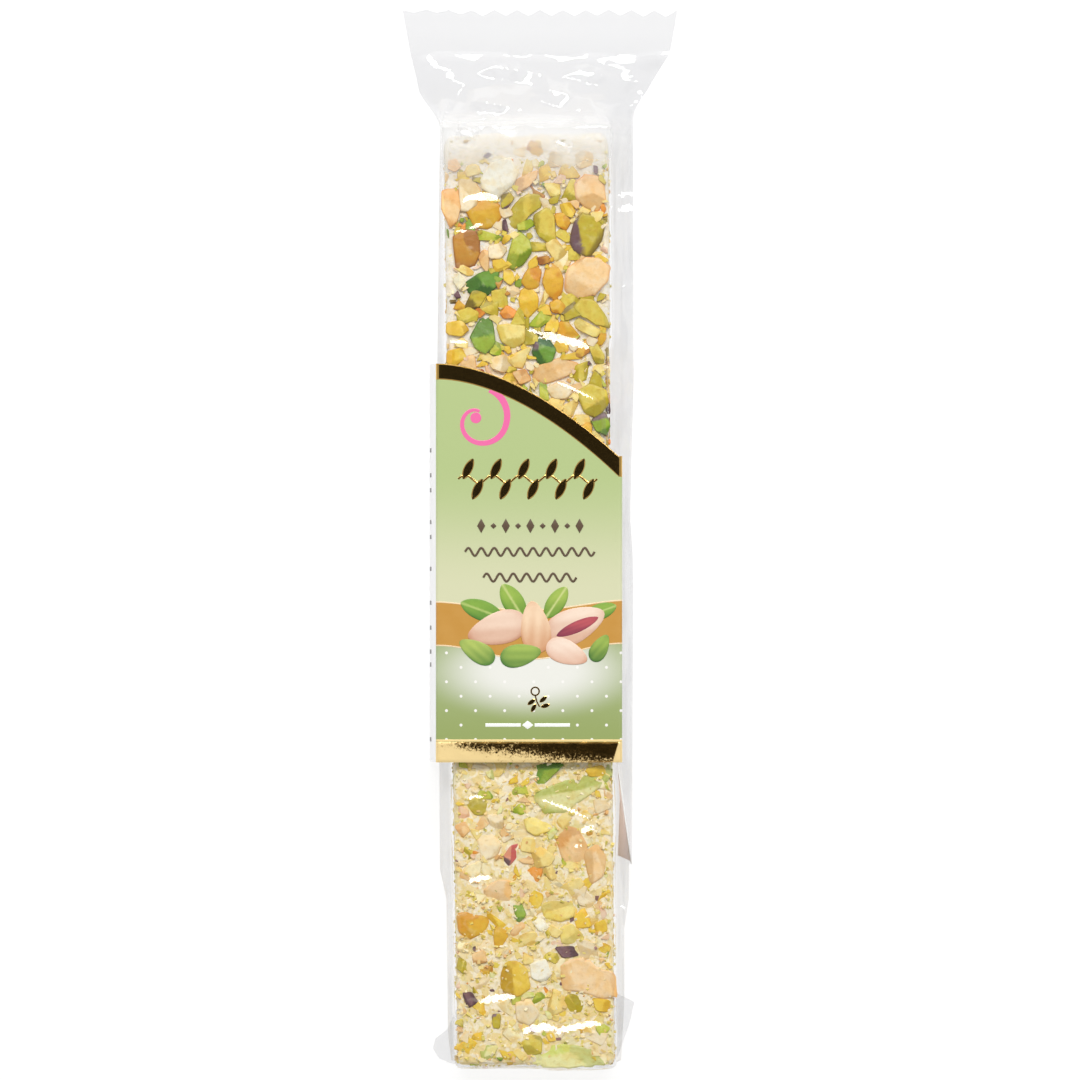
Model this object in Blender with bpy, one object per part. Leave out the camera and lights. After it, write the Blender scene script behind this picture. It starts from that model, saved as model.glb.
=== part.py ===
"""A nougat bar sealed in clear film, lying on its back in a loose printed card sleeve.

The bar lies along Y with its shown face up. The film runs out past the bar's far end into a flat
crimped seal with a zigzag edge, and the near seal is folded under the bar. Slack folds of film
stand out along both sides. The card sleeve wraps round the middle and leans to the left, its front
is cut along a curve, and the right fold of film comes out through the gap low on its right side.
Metres, +Z up, origin on the ground under the middle of the box.
"""

import math

import bmesh
import bpy
from mathutils import Vector, noise

MM = 0.001

# The bar in its film
BAR_TOP_END = 77.2 * MM
BAR_NEAR_END = -99.0 * MM
FILM_BOTTOM = 0.7 * MM
FILM_TOP = 15.9 * MM
BAR_HALF_WIDTH = 15.6 * MM
BAR_TAPER = 0.0045
BAR_MIDDLE_X = -1.8 * MM
BAR_LEAN = -0.0105
SLEEVE_SQUEEZE = 0.4 * MM
CORNER_RADIUS = 1.6 * MM
NEAR_END_ROUNDING = 1.3 * MM
SECOND_ROUNDING = 0.4 * MM
SECOND_ROUNDING_AT = 0.45 * MM
RELIEF_DEPTH = 0.3 * MM
RELIEF_SIZE = 7.0 * MM
RELIEF_UPRIGHT_SCALE = 1.3

# The slack folds of film along both sides: (place along the bar, x of the fold's edge), in millimetres
FOLD_HEIGHT = 4.6 * MM
FOLD_ROOT = 1.5 * MM
FOLD_EDGE = 0.2 * MM
RIGHT_FOLD = [
    (-99.0, 15.2), (-88.0, 15.9), (-73.0, 15.9), (-67.5, 16.7), (-61.0, 16.8), (-60.0, 17.3),
    (-8.0, 17.5), (-2.5, 17.4), (4.0, 16.95), (12.0, 17.1), (30.0, 17.6), (77.2, 17.5),
]
LEFT_FOLD = [
    (-99.0, -16.5), (-92.8, -17.3), (-67.5, -17.6), (-62.0, -18.8), (-41.0, -18.95), (33.0, -19.3),
    (63.8, -18.95), (77.2, -18.8),
]

# The far seal, a flat crimped plate with a zigzag edge
SEAL_HALF_WIDTH = 25.8 * MM
SEAL_HALF_WIDTH_AT_ROOT = 24.6 * MM
SEAL_TIP = 99.4 * MM
SEAL_ROOT = 90.0 * MM
SEAL_HEIGHT = 6.2 * MM
SEAL_THICKNESS = 0.6 * MM
TOOTH_DEPTH = 0.9 * MM
TOOTH_COUNT = 12.5
WEDGE_END = 91.2 * MM
WEDGE_THICKNESS = 0.36 * MM
WAIST_AT = 0.2
WAIST_HALF_WIDTH = 20.2 * MM
WAIST_SHARPNESS = 1.25
WEDGE_INSET = 0.3 * MM
WEDGE_SPREAD_BY = 0.55

# The near seal, folded back under the bar so that only its corners show
TUCK_TOP = 1.0 * MM
TUCK_OUTLINE = [
    (-13.2, -99.2), (-16.6, -98.7), (-19.1, -97.6), (-20.2, -95.8), (-19.7, -93.9), (-17.5, -92.2),
    (-14.0, -84.5), (12.5, -84.5), (16.0, -88.6), (17.8, -87.0), (17.2, -90.2), (15.9, -94.0),
    (14.6, -97.4), (12.6, -99.0),
]

# The card sleeve
CARD = 0.4 * MM
SLEEVE_LEFT = -19.5 * MM
SLEEVE_RIGHT = 15.4 * MM
SLEEVE_HEIGHT = 16.7 * MM
SLEEVE_LEAN = 1.3 * MM
SLEEVE_NEAR = -41.6 * MM
SLEEVE_FAR_LEFT = 33.0 * MM
SLEEVE_FAR_RIGHT = 15.7 * MM
SLEEVE_FOLD_RADIUS = 0.7 * MM
SLEEVE_GAP_TOP = 6.8 * MM
SLEEVE_BACK_RIGHT = 13.2 * MM
SLEEVE_GRIP_FADE = 5.0 * MM
CUT_CURVE_POWER = 1.75

ARC_STEPS = 4
TOP_STEPS = 10
SLEEVE_CURVE_STEPS = 18
SLEEVE_FOLD_STEPS = 3
STATION_GAP = 4.2 * MM
STATION_GAP_IN_SLEEVE = 9.5 * MM
WEDGE_STATIONS = 9
SMALL = 0.01 * MM
SHARP_ANGLE = 30

# Plain finishes: colour, roughness
NOUGAT_FINISH = ((0.80, 0.70, 0.36), 0.25)
CARD_FINISH = ((0.48, 0.60, 0.27), 0.4)


def smooth(value, start, end):
    """0 before start, 1 after end, and a soft step between them."""
    share = min(1.0, max(0.0, (value - start) / (end - start)))
    return share * share * (3 - 2 * share)


def mix(a, b, share):
    return a + (b - a) * share


def in_sleeve(y):
    """1 where the sleeve holds the film close, and 0 clear of it."""
    gripped = smooth(y, SLEEVE_NEAR - SLEEVE_GRIP_FADE, SLEEVE_NEAR)
    freed = smooth(y, SLEEVE_FAR_LEFT, SLEEVE_FAR_LEFT + SLEEVE_GRIP_FADE)
    return gripped * (1 - freed)


def fold_edge(y, course):
    """The x of a slack fold's edge at one place along the bar, read from its course."""
    for (start, x), (end, next_x) in zip(course, course[1:]):
        if y <= end * MM:
            return mix(x, next_x, max(0.0, y - start * MM) / ((end - start) * MM)) * MM
    return course[-1][1] * MM


def middle_x(y):
    return BAR_MIDDLE_X + BAR_LEAN * y - SLEEVE_SQUEEZE * in_sleeve(y)


def half_width(y):
    return BAR_HALF_WIDTH + BAR_TAPER * y - SLEEVE_SQUEEZE * in_sleeve(y)


def arc(centre_x, centre_z, radius, start, end, steps):
    points = []
    for i in range(steps + 1):
        turn = math.radians(mix(start, end, i / steps))
        points.append((centre_x + radius * math.cos(turn), centre_z + radius * math.sin(turn)))
    return points


def bar_section(y):
    """(x, z) round the film: from the left fold's edge over the top to the right's, and back."""
    left, right = middle_x(y) - half_width(y), middle_x(y) + half_width(y)
    low, high = FILM_BOTTOM + CORNER_RADIUS, FILM_TOP - CORNER_RADIUS
    left_edge, right_edge = fold_edge(y, LEFT_FOLD), fold_edge(y, RIGHT_FOLD)
    over = [(left_edge, FOLD_HEIGHT + FOLD_EDGE), (left, FOLD_HEIGHT + FOLD_ROOT)]
    over += arc(left + CORNER_RADIUS, high, CORNER_RADIUS, 180, 90, ARC_STEPS)
    over += [
        (mix(left + CORNER_RADIUS, right - CORNER_RADIUS, i / TOP_STEPS), FILM_TOP)
        for i in range(1, TOP_STEPS)
    ]
    over += arc(right - CORNER_RADIUS, high, CORNER_RADIUS, 90, 0, ARC_STEPS)
    over += [(right, FOLD_HEIGHT + FOLD_ROOT), (right_edge, FOLD_HEIGHT + FOLD_EDGE)]
    under = [(right_edge, FOLD_HEIGHT - FOLD_EDGE), (right, FOLD_HEIGHT - FOLD_ROOT)]
    under += arc(right - CORNER_RADIUS, low, CORNER_RADIUS, 0, -90, ARC_STEPS)
    under += [
        (mix(right - CORNER_RADIUS, left + CORNER_RADIUS, i / TOP_STEPS), FILM_BOTTOM)
        for i in range(1, TOP_STEPS)
    ]
    under += arc(left + CORNER_RADIUS, low, CORNER_RADIUS, -90, -180, ARC_STEPS)
    under += [(left, FOLD_HEIGHT - FOLD_ROOT), (left_edge, FOLD_HEIGHT - FOLD_EDGE)]
    return over, under


def spread(points, half_width, z, backwards):
    """The same points laid out flat, as far along the sheet as they were."""
    lengths = [0.0]
    for (x0, z0), (x1, z1) in zip(points, points[1:]):
        lengths.append(lengths[-1] + math.hypot(x1 - x0, z1 - z0))
    start, end = (half_width, -half_width) if backwards else (-half_width, half_width)
    return [(mix(start, end, length / lengths[-1]), z) for length in lengths]


def relief(x, y, z):
    """How deep the film dips between the nuts behind it, always inwards."""
    place = Vector((x, y, z * RELIEF_UPRIGHT_SCALE)) / RELIEF_SIZE
    return RELIEF_DEPTH * (0.5 + 0.5 * noise.noise(place))


def sink(points, y):
    """Moves the points of a section in towards the bar's middle by the relief."""
    middle = Vector((middle_x(y), (FILM_BOTTOM + FILM_TOP) / 2))
    sunk = []
    for x, z in points:
        on_fold = abs(x - middle.x) > half_width(y) + SMALL
        depth = 0.0 if on_fold else relief(x, y, z)
        step_x = depth if x < middle.x else -depth
        step_z = depth if z < middle.y else -depth
        near_side = abs(x - middle.x) > half_width(y) - CORNER_RADIUS - SMALL
        sunk.append((x + step_x, z) if near_side else (x, z + step_z))
    return sunk


def wedge_section(share):
    """A section of the film between the bar's far end (share 0) and the seal (share 1)."""
    over, under = bar_section(BAR_TOP_END)
    widening = (max(0.0, share - WAIST_AT) / (1 - WAIST_AT)) ** WAIST_SHARPNESS
    half = mix(WAIST_HALF_WIDTH, SEAL_HALF_WIDTH_AT_ROOT - WEDGE_INSET, widening)
    middle = mix(middle_x(BAR_TOP_END), 0.0, share)
    flat_over = spread(over, half, SEAL_HEIGHT + WEDGE_THICKNESS / 2, False)
    flat_under = spread(under, half, SEAL_HEIGHT - WEDGE_THICKNESS / 2, True)
    flat = [(x + middle, z) for x, z in flat_over + flat_under]
    sideways = smooth(share, 0.0, WEDGE_SPREAD_BY)
    return [
        (mix(x0, x1, sideways), mix(z0, z1, share))
        for (x0, z0), (x1, z1) in zip(over + under, flat)
    ]


def shrunk(points, y, rounding):
    """A section drawn in by the rounding, for the near end's edge."""
    low, high = FILM_BOTTOM + rounding, FILM_TOP - rounding
    reach = half_width(y) - rounding
    return [
        (
            min(middle_x(y) + reach, max(middle_x(y) - reach, x)),
            min(high, max(low, z)),
        )
        for x, z in points
    ]


def stations():
    """The places along the bar where a section is taken."""
    def evenly(start, end, gap):
        count = math.ceil((end - start) / gap)
        return [mix(start, end, i / count) for i in range(count)]

    return [
        *evenly(BAR_NEAR_END + NEAR_END_ROUNDING, SLEEVE_NEAR, STATION_GAP),
        *evenly(SLEEVE_NEAR, SLEEVE_FAR_RIGHT, STATION_GAP_IN_SLEEVE),
        *evenly(SLEEVE_FAR_RIGHT, BAR_TOP_END, STATION_GAP),
    ]


def mesh_object(name, corners, faces, material):
    mesh = bpy.data.meshes.new(name)
    mesh.from_pydata(corners, [], faces)
    made = bmesh.new()
    made.from_mesh(mesh)
    bmesh.ops.triangulate(made, faces=[f for f in made.faces if len(f.verts) > 4])
    bmesh.ops.recalc_face_normals(made, faces=made.faces)
    made.to_mesh(mesh)
    made.free()
    mesh.shade_smooth()
    mesh.set_sharp_from_angle(angle=math.radians(SHARP_ANGLE))
    mesh.materials.append(material)
    obj = bpy.data.objects.new(name, mesh)
    bpy.context.scene.collection.objects.link(obj)
    return obj


def lofted(name, sections, material):
    """A closed skin through sections, each a list of corners with the same count."""
    count = len(sections[0])
    corners = [corner for section in sections for corner in section]
    faces = [list(range(count)), [len(corners) - count + i for i in reversed(range(count))]]
    for row in range(len(sections) - 1):
        for i in range(count):
            here, beside = row * count + i, row * count + (i + 1) % count
            faces.append([here, here + count, beside + count, beside])
    return mesh_object(name, corners, faces, material)


def plate(name, outline, low, high, material):
    """A flat plate of the given outline between two heights."""
    sections = [[(x, y, z) for x, y in outline] for z in (low, high)]
    return lofted(name, sections, material)


def bar_in_film(material):
    sections = []
    first = BAR_NEAR_END + NEAR_END_ROUNDING
    over, under = bar_section(first)
    rounded = shrunk(over + under, first, NEAR_END_ROUNDING)
    sections.append([(x, BAR_NEAR_END, z) for x, z in rounded])
    slightly = shrunk(over + under, first, SECOND_ROUNDING)
    sections.append([(x, BAR_NEAR_END + SECOND_ROUNDING_AT, z) for x, z in slightly])
    for y in stations():
        over, under = bar_section(y)
        sections.append([(x, y, z) for x, z in sink(over + under, y)])
    for i in range(WEDGE_STATIONS):
        share = i / (WEDGE_STATIONS - 1)
        y = mix(BAR_TOP_END, WEDGE_END, share)
        sections.append([(x, y, z) for x, z in wedge_section(share)])
    return lofted("film_pack", sections, material)


def far_seal(material):
    """The crimped plate: straight sides that lean in, and a zigzag edge."""
    outline = [(-SEAL_HALF_WIDTH_AT_ROOT, SEAL_ROOT), (SEAL_HALF_WIDTH_AT_ROOT, SEAL_ROOT)]
    steps = round(TOOTH_COUNT * 2)
    for i in range(steps + 1):
        x = mix(SEAL_HALF_WIDTH, -SEAL_HALF_WIDTH, i / steps)
        outline.append((x, SEAL_TIP - (i % 2) * TOOTH_DEPTH))
    low, high = SEAL_HEIGHT - SEAL_THICKNESS / 2, SEAL_HEIGHT + SEAL_THICKNESS / 2
    return plate("far_seal", outline, low, high, material)


def tucked_seal(material):
    """The near seal, folded flat between the bar and the ground."""
    outline = [(x * MM, y * MM) for x, y in TUCK_OUTLINE]
    return plate("tucked_seal", outline, 0.0, TUCK_TOP, material)


def join(body, pieces):
    """Fuses the pieces to the body by one Boolean union, and removes them."""
    gathered = bpy.data.collections.new("fused")
    bpy.context.scene.collection.children.link(gathered)
    for piece in pieces:
        bpy.context.scene.collection.objects.unlink(piece)
        gathered.objects.link(piece)
    union = body.modifiers.new("fuse", "BOOLEAN")
    union.operation = "UNION"
    union.operand_type = "COLLECTION"
    union.collection = gathered
    union.solver = "EXACT"
    graph = bpy.context.evaluated_depsgraph_get()
    fused = bpy.data.meshes.new_from_object(body.evaluated_get(graph))
    body.modifiers.clear()
    body.data = fused
    for piece in pieces:
        bpy.data.objects.remove(piece)
    bpy.data.collections.remove(gathered)


def sleeve_far_end(across):
    """Where the sleeve's far edge lies, for a share of the way from its left fold to its right."""
    return mix(SLEEVE_FAR_LEFT, SLEEVE_FAR_RIGHT, across**CUT_CURVE_POWER)


def sleeve_strip(inset):
    """(x, z, far end) along the bent card, drawn in by inset: from the edge over the gap low on the
    right, up, across the front, down the left side and back along the ground.
    """
    radius = SLEEVE_FOLD_RADIUS - inset
    left, right = SLEEVE_LEFT + SLEEVE_FOLD_RADIUS, SLEEVE_RIGHT - SLEEVE_FOLD_RADIUS
    low, high = SLEEVE_FOLD_RADIUS, SLEEVE_HEIGHT - SLEEVE_FOLD_RADIUS
    across = [i / SLEEVE_CURVE_STEPS for i in range(SLEEVE_CURVE_STEPS + 1)]
    lean_at_gap = SLEEVE_LEAN * (high - SLEEVE_GAP_TOP) / (high - low)
    strip = [(right + radius - lean_at_gap, SLEEVE_GAP_TOP, sleeve_far_end(1))]
    for x, z in arc(right, high, radius, 0, 90, SLEEVE_FOLD_STEPS):
        strip.append((x, z, sleeve_far_end(1)))
    for share in reversed(across[1:-1]):
        strip.append((mix(left, right, share), high + radius, sleeve_far_end(share)))
    for x, z in arc(left, high, radius, 90, 180, SLEEVE_FOLD_STEPS):
        strip.append((x, z, sleeve_far_end(0)))
    for x, z in arc(left - SLEEVE_LEAN, low, radius, 180, 270, SLEEVE_FOLD_STEPS):
        strip.append((x, z, sleeve_far_end(0)))
    for share in across[1:]:
        x = mix(left - SLEEVE_LEAN, SLEEVE_BACK_RIGHT, share)
        strip.append((x, low - radius, sleeve_far_end(share)))
    return strip


def sleeve(material):
    """The card, with an outer and an inner wall joined along all four edges."""
    outer, inner = sleeve_strip(0.0), sleeve_strip(CARD)
    count = len(outer)
    corners = [(x, SLEEVE_NEAR, z) for x, z, _ in outer]
    corners += [(x, far, z) for x, z, far in outer]
    corners += [(x, far, z) for x, z, far in inner]
    corners += [(x, SLEEVE_NEAR, z) for x, z, _ in inner]
    faces = []
    for i in range(count - 1):
        for band in range(4):
            here, there = band * count, ((band + 1) % 4) * count
            faces.append([here + i, there + i, there + i + 1, here + i + 1])
    for i in (0, count - 1):
        faces.append([band * count + i for band in range(4)])
    return mesh_object("sleeve", corners, faces, material)


def finish(name, colour, roughness):
    """A Principled material in one plain colour."""
    material = bpy.data.materials.new(name)
    material.use_nodes = True
    shader = material.node_tree.nodes["Principled BSDF"]
    shader.inputs["Base Color"].default_value = (*colour, 1.0)
    shader.inputs["Roughness"].default_value = roughness
    return material


def main():
    for obj in list(bpy.data.objects):
        bpy.data.objects.remove(obj)
    nougat = finish("nougat_in_clear_film", *NOUGAT_FINISH)
    card = finish("printed_card", *CARD_FINISH)
    body = bar_in_film(nougat)
    join(body, [far_seal(nougat), tucked_seal(nougat)])
    sleeve(card)


main()
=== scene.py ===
"""The looks of the nougat bar: the clear film, the bar with its nuts, and the printed card sleeve."""

import math

import bmesh
import bpy
import numpy as np
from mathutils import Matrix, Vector


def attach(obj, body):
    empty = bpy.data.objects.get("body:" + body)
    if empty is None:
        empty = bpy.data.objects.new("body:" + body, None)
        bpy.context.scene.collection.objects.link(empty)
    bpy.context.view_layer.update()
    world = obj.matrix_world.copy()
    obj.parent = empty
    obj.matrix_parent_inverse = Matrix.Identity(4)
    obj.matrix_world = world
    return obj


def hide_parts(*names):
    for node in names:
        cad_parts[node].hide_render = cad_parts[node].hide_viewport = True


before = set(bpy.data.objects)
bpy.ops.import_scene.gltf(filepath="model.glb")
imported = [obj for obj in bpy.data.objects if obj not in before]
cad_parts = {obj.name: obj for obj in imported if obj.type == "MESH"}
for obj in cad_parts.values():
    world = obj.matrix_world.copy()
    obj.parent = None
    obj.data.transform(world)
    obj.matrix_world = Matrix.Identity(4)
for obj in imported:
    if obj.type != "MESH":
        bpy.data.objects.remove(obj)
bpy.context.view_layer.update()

MM = 0.001
PHOTO_MIDDLE = 540
PHOTO_PIXEL = 0.1875 * MM

# The bar in its film, as the solids have it
BAR_FAR_END = 77.2 * MM
BAR_NEAR_END = -99.0 * MM
FILM_BOTTOM = 0.7 * MM
FILM_TOP = 15.9 * MM
BAR_HALF_WIDTH = 15.6 * MM
BAR_TAPER = 0.0045
BAR_MIDDLE_X = -1.8 * MM
BAR_LEAN = -0.0105
CORNER_RADIUS = 1.6 * MM
SLEEVE_SQUEEZE = 0.4 * MM

# The film's slack folds, with half their thickness where they leave the bar and at their edge
FOLD_HEIGHT = 4.6 * MM
FOLD_ROOT = 1.5 * MM
FOLD_EDGE = 0.2 * MM
FOLD_WAVE = 0.7 * MM
FOLD_CRUMPLE = 0.3 * MM
SIDE_DENT = 0.35 * MM
# Each fold as (place along the bar, x of the fold's edge), in millimetres
RIGHT_FOLD = [
    (-99.0, 15.2), (-88.0, 15.9), (-73.0, 15.9), (-67.5, 16.7), (-61.0, 16.8), (-60.0, 17.3),
    (-8.0, 17.5), (-2.5, 17.4), (4.0, 16.95), (12.0, 17.1), (30.0, 17.6), (77.2, 17.5),
]
LEFT_FOLD = [
    (-99.0, -16.5), (-92.8, -17.3), (-67.5, -17.6), (-62.0, -18.8), (-41.0, -18.95), (33.0, -19.3),
    (63.8, -18.95), (77.2, -18.8),
]

# The far seal
SEAL_HALF_WIDTH = 25.8 * MM
SEAL_HALF_WIDTH_AT_ROOT = 24.3 * MM
SEAL_TIP = 99.7 * MM
SEAL_ROOT = 91.2 * MM
SEAL_HEIGHT = 6.2 * MM
SEAL_PARTING = 0.12 * MM
SEAL_WAVE = 0.5 * MM
SHOULDER_PARTING = 0.36 * MM
SHOULDER_FOLD = 2.1 * MM
SHOULDER_CREASE = 0.5 * MM
TOOTH_DEPTH = 1.05 * MM
TOOTH_COUNT = 12
WAIST_AT = 0.2
WAIST_HALF_WIDTH = 20.2 * MM
WAIST_SHARPNESS = 1.25

# The near seal under the bar: (place along the bar, left edge, right edge), in millimetres
TUCKED_SEAL = [
    (-84.5, -14.0, 12.5), (-87.0, -15.1, 17.8), (-88.6, -15.8, 17.4), (-90.2, -16.6, 17.1),
    (-92.2, -17.5, 16.5), (-93.9, -19.7, 15.9), (-95.8, -20.2, 15.2), (-97.6, -19.1, 14.5),
    (-98.7, -16.6, 13.4), (-99.2, -13.2, 12.6),
]

# The card sleeve
CARD = 0.4 * MM
SLEEVE_LEFT = -19.5 * MM
SLEEVE_RIGHT = 15.4 * MM
SLEEVE_TOP = 16.7 * MM
SLEEVE_LEAN = 1.3 * MM
SLEEVE_NEAR = -41.6 * MM
SLEEVE_FAR_LEFT = 33.0 * MM
SLEEVE_FAR_RIGHT = 15.7 * MM
SLEEVE_FOLD_RADIUS = 0.7 * MM
SLEEVE_GAP_TOP = 6.8 * MM
SLEEVE_BACK_RIGHT = 13.2 * MM
CUT_CURVE_POWER = 1.75

# The print on the sleeve's front: how deep it reaches into the card, its dots, its glow and its foil
INTO_CARD = 0.03 * MM
ABOVE_PICTURE = 0.09 * MM
DOTTED_BELOW = -16.0 * MM
DOT_X = -17.49 * MM
DOT_Y = -21.11 * MM
DOT_PITCH = 5.44 * MM
DOT_ROW_PITCH = 2.7 * MM
DOT_RADIUS = 0.27 * MM
DOT_BLUR = 0.05 * MM
GLOW_X = -1.5 * MM
GLOW_Y = -24.5 * MM
GLOW_WIDTH = 21 * MM
GLOW_HEIGHT = 9.0 * MM
FOIL_STRIP_TOP = -37.75 * MM
PALE_LINE_TOP = -37.3 * MM
PALE_LINE_LOW = -37.7 * MM
# Where the dashes lie down the side panel, as rows of the photo
SIDE_MARKS = [450, 475, 490, 522, 537, 569, 603, 628, 652, 665, 740]

# The bar of nougat inside the film
NOUGAT_TOP = 15.05 * MM
NOUGAT_BOTTOM = 1.15 * MM
NOUGAT_INSET = 0.55 * MM
NOUGAT_DIP = 0.38 * MM
NUT_TOP = 15.42 * MM


def linear(red, green, blue):
    """A colour as the photo shows it, 0 to 255, as the light that it stands for."""
    def one(value):
        value /= 255
        return value / 12.92 if value <= 0.04045 else ((value + 0.055) / 1.055) ** 2.4
    return one(red), one(green), one(blue)


def ink(red, green, blue):
    """A printed colour, a little deeper than the photo shows it under its strong light."""
    return tuple(share * value for share, value in zip((0.94, 0.91, 0.9), linear(red, green, blue)))


def mix(a, b, share):
    """a at share 0, b at share 1."""
    return a + (b - a) * share


def smooth(value, start, end):
    """0 before start, 1 after end, and a soft step between them."""
    share = np.clip((value - start) / (end - start), 0.0, 1.0)
    return share * share * (3 - 2 * share)


def hashed(i, j, seed):
    """A repeatable value from 0 to 1 for each pair of whole numbers."""
    value = np.sin(i * 127.1 + j * 311.7 + seed * 74.7) * 43758.5453
    return value - np.floor(value)


def swell(x, y, size, seed):
    """Soft bumps from 0 to 1, about size apart."""
    u, v = x / size, y / size
    i, j = np.floor(u), np.floor(v)
    a, b = smooth(u - i, 0, 1), smooth(v - j, 0, 1)
    near = mix(hashed(i, j, seed), hashed(i + 1, j, seed), a)
    far = mix(hashed(i, j + 1, seed), hashed(i + 1, j + 1, seed), a)
    return mix(near, far, b)


def facets(x, y, size, seed):
    """Flat triangles with heights from 0 to 1 at their corners, size apart."""
    skew = (x + y) / size * (math.sqrt(3) - 1) / 2
    u, v = x / size + skew, y / size + skew
    i, j = np.floor(u), np.floor(v)
    a, b = u - i, v - j
    middle = np.where(a > b, hashed(i + 1, j, seed), hashed(i, j + 1, seed))
    large, small = np.maximum(a, b), np.minimum(a, b)
    return (
        hashed(i, j, seed) * (1 - large)
        + middle * (large - small)
        + hashed(i + 1, j + 1, seed) * small
    )


def crumple(x, y, size, seed):
    """Flat facets from 0 to 1 of uneven shapes that meet in sharp creases, about size apart."""
    reach, wide = 0.9 * size, 2.3 * size
    aside = reach * (facets(x, y, wide, seed + 1) - 0.5)
    along = reach * (facets(x, y, wide, seed + 2) - 0.5)
    return facets(x + aside, y + along, size, seed)


def in_sleeve(y):
    """1 along the sleeve, and 0 from a little way beyond its ends."""
    near = smooth(y, SLEEVE_NEAR - 5 * MM, SLEEVE_NEAR)
    return near * (1 - smooth(y, SLEEVE_FAR_LEFT, SLEEVE_FAR_LEFT + 5 * MM))


def under_card(x, y):
    """1 where the card lies over the film, and 0 beyond a narrow strip along its edges."""
    far = sleeve_far_end(x)
    near = smooth(y, SLEEVE_NEAR - 2 * MM, SLEEVE_NEAR - 0.5 * MM)
    return near * (1 - smooth(y, far + 0.3 * MM, far + 1.8 * MM))


def middle_x(y):
    """x of the bar's middle at a place along it: it leans a little to the left."""
    return BAR_MIDDLE_X + BAR_LEAN * y - SLEEVE_SQUEEZE * in_sleeve(y)


def half_width(y):
    """Half the width of the film on the bar, which the sleeve presses in a little."""
    return BAR_HALF_WIDTH + BAR_TAPER * y - SLEEVE_SQUEEZE * in_sleeve(y)


def fold_edge(y, course):
    """x of a slack fold's edge at a place along the bar."""
    places, edges = zip(*course)
    return np.interp(y / MM, places, edges) * MM


def from_photo(corners):
    """Corners read in the photo, as places on the bar in metres."""
    right, down = (np.array(corners, float) - PHOTO_MIDDLE).T * PHOTO_PIXEL
    return np.stack([right, -down], 1)


# Finishes


class Value:
    """A number of a finish that changes over the surface. Plain arithmetic adds Math nodes."""

    def __init__(self, finish, socket):
        self.finish, self.socket = finish, socket

    def math(self, operation, *values):
        settings = {"operation": operation}
        return self.finish.node("ShaderNodeMath", settings, dict(enumerate(values)))

    def __add__(self, other):
        return self.math("ADD", self, other)

    __radd__ = __add__

    def __sub__(self, other):
        return self.math("SUBTRACT", self, other)

    def __rsub__(self, other):
        return self.math("SUBTRACT", other, self)

    def __mul__(self, other):
        return self.math("MULTIPLY", self, other)

    __rmul__ = __mul__

    def __truediv__(self, other):
        return self.math("DIVIDE", self, other)

    def __pow__(self, other):
        return self.math("POWER", self, other)

    def clamped(self, start, end):
        """0 at start, 1 at end, softly."""
        settings = {"interpolation_type": "SMOOTHSTEP"}
        return self.finish.node("ShaderNodeMapRange", settings, {0: self, 1: start, 2: end})


class Finish:
    """A material while it is put together."""

    def __init__(self, name):
        self.material = bpy.data.materials.new(name)
        self.material.use_nodes = True
        self.tree = self.material.node_tree
        self.shader = self.tree.nodes["Principled BSDF"]

    def node(self, kind, settings=None, inputs=None, output=0):
        """Adds a node of a kind, with its settings and with the values or links of its inputs."""
        made = self.tree.nodes.new(kind)
        for name, value in (settings or {}).items():
            if name == "stops":
                self.set_stops(made.color_ramp, value)
            else:
                setattr(made, name, value)
        for key, value in (inputs or {}).items():
            self.feed(made.inputs[key], value)
        return Value(self, made.outputs[output])

    def set_stops(self, ramp, stops):
        """Gives a colour ramp its stops: (place, colour)."""
        while len(ramp.elements) < len(stops):
            ramp.elements.new(1.0)
        for element, (place, colour) in zip(ramp.elements, stops):
            element.position = place
            element.color = (*colour, 1.0)

    def feed(self, socket, value):
        if isinstance(value, Value):
            self.tree.links.new(value.socket, socket)
        elif socket.type == "RGBA":
            socket.default_value = (*value, 1.0)
        else:
            socket.default_value = value

    def set(self, **values):
        """Sets the shader's own sockets, with _ for a space in their names."""
        for name, value in values.items():
            self.feed(self.shader.inputs[name.replace("_", " ")], value)
        return self

    def place(self):
        """The place on the object."""
        return self.node("ShaderNodeTexCoord", output="Object")

    def axes(self):
        """The place's x, y and z."""
        parts = self.node("ShaderNodeSeparateXYZ", inputs={0: self.place()})
        return [Value(self, output) for output in parts.socket.node.outputs]

    def field(self, name, output="Fac"):
        """A value that was stored on the mesh."""
        return self.node("ShaderNodeAttribute", {"attribute_name": name}, output=output)

    def noise(self, size, detail=2.0, roughness=0.5, distortion=0.0):
        inputs = {"Vector": self.place(), "Scale": 1 / size, "Detail": detail, "Roughness": roughness}
        return self.node("ShaderNodeTexNoise", None, {**inputs, "Distortion": distortion})

    def blend(self, share, a, b, how="MIX"):
        settings = {"data_type": "RGBA", "blend_type": how}
        return self.node("ShaderNodeMix", settings, {0: share, 6: a, 7: b}, output=2)

    def ramp(self, value, stops, interpolation="LINEAR"):
        made = self.node("ShaderNodeValToRGB", {"stops": stops}, {0: value})
        made.socket.node.color_ramp.interpolation = interpolation
        return made

    def bump(self, height, distance, strength=1.0):
        inputs = {"Height": height, "Distance": distance, "Strength": strength}
        return self.node("ShaderNodeBump", inputs=inputs)


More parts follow.
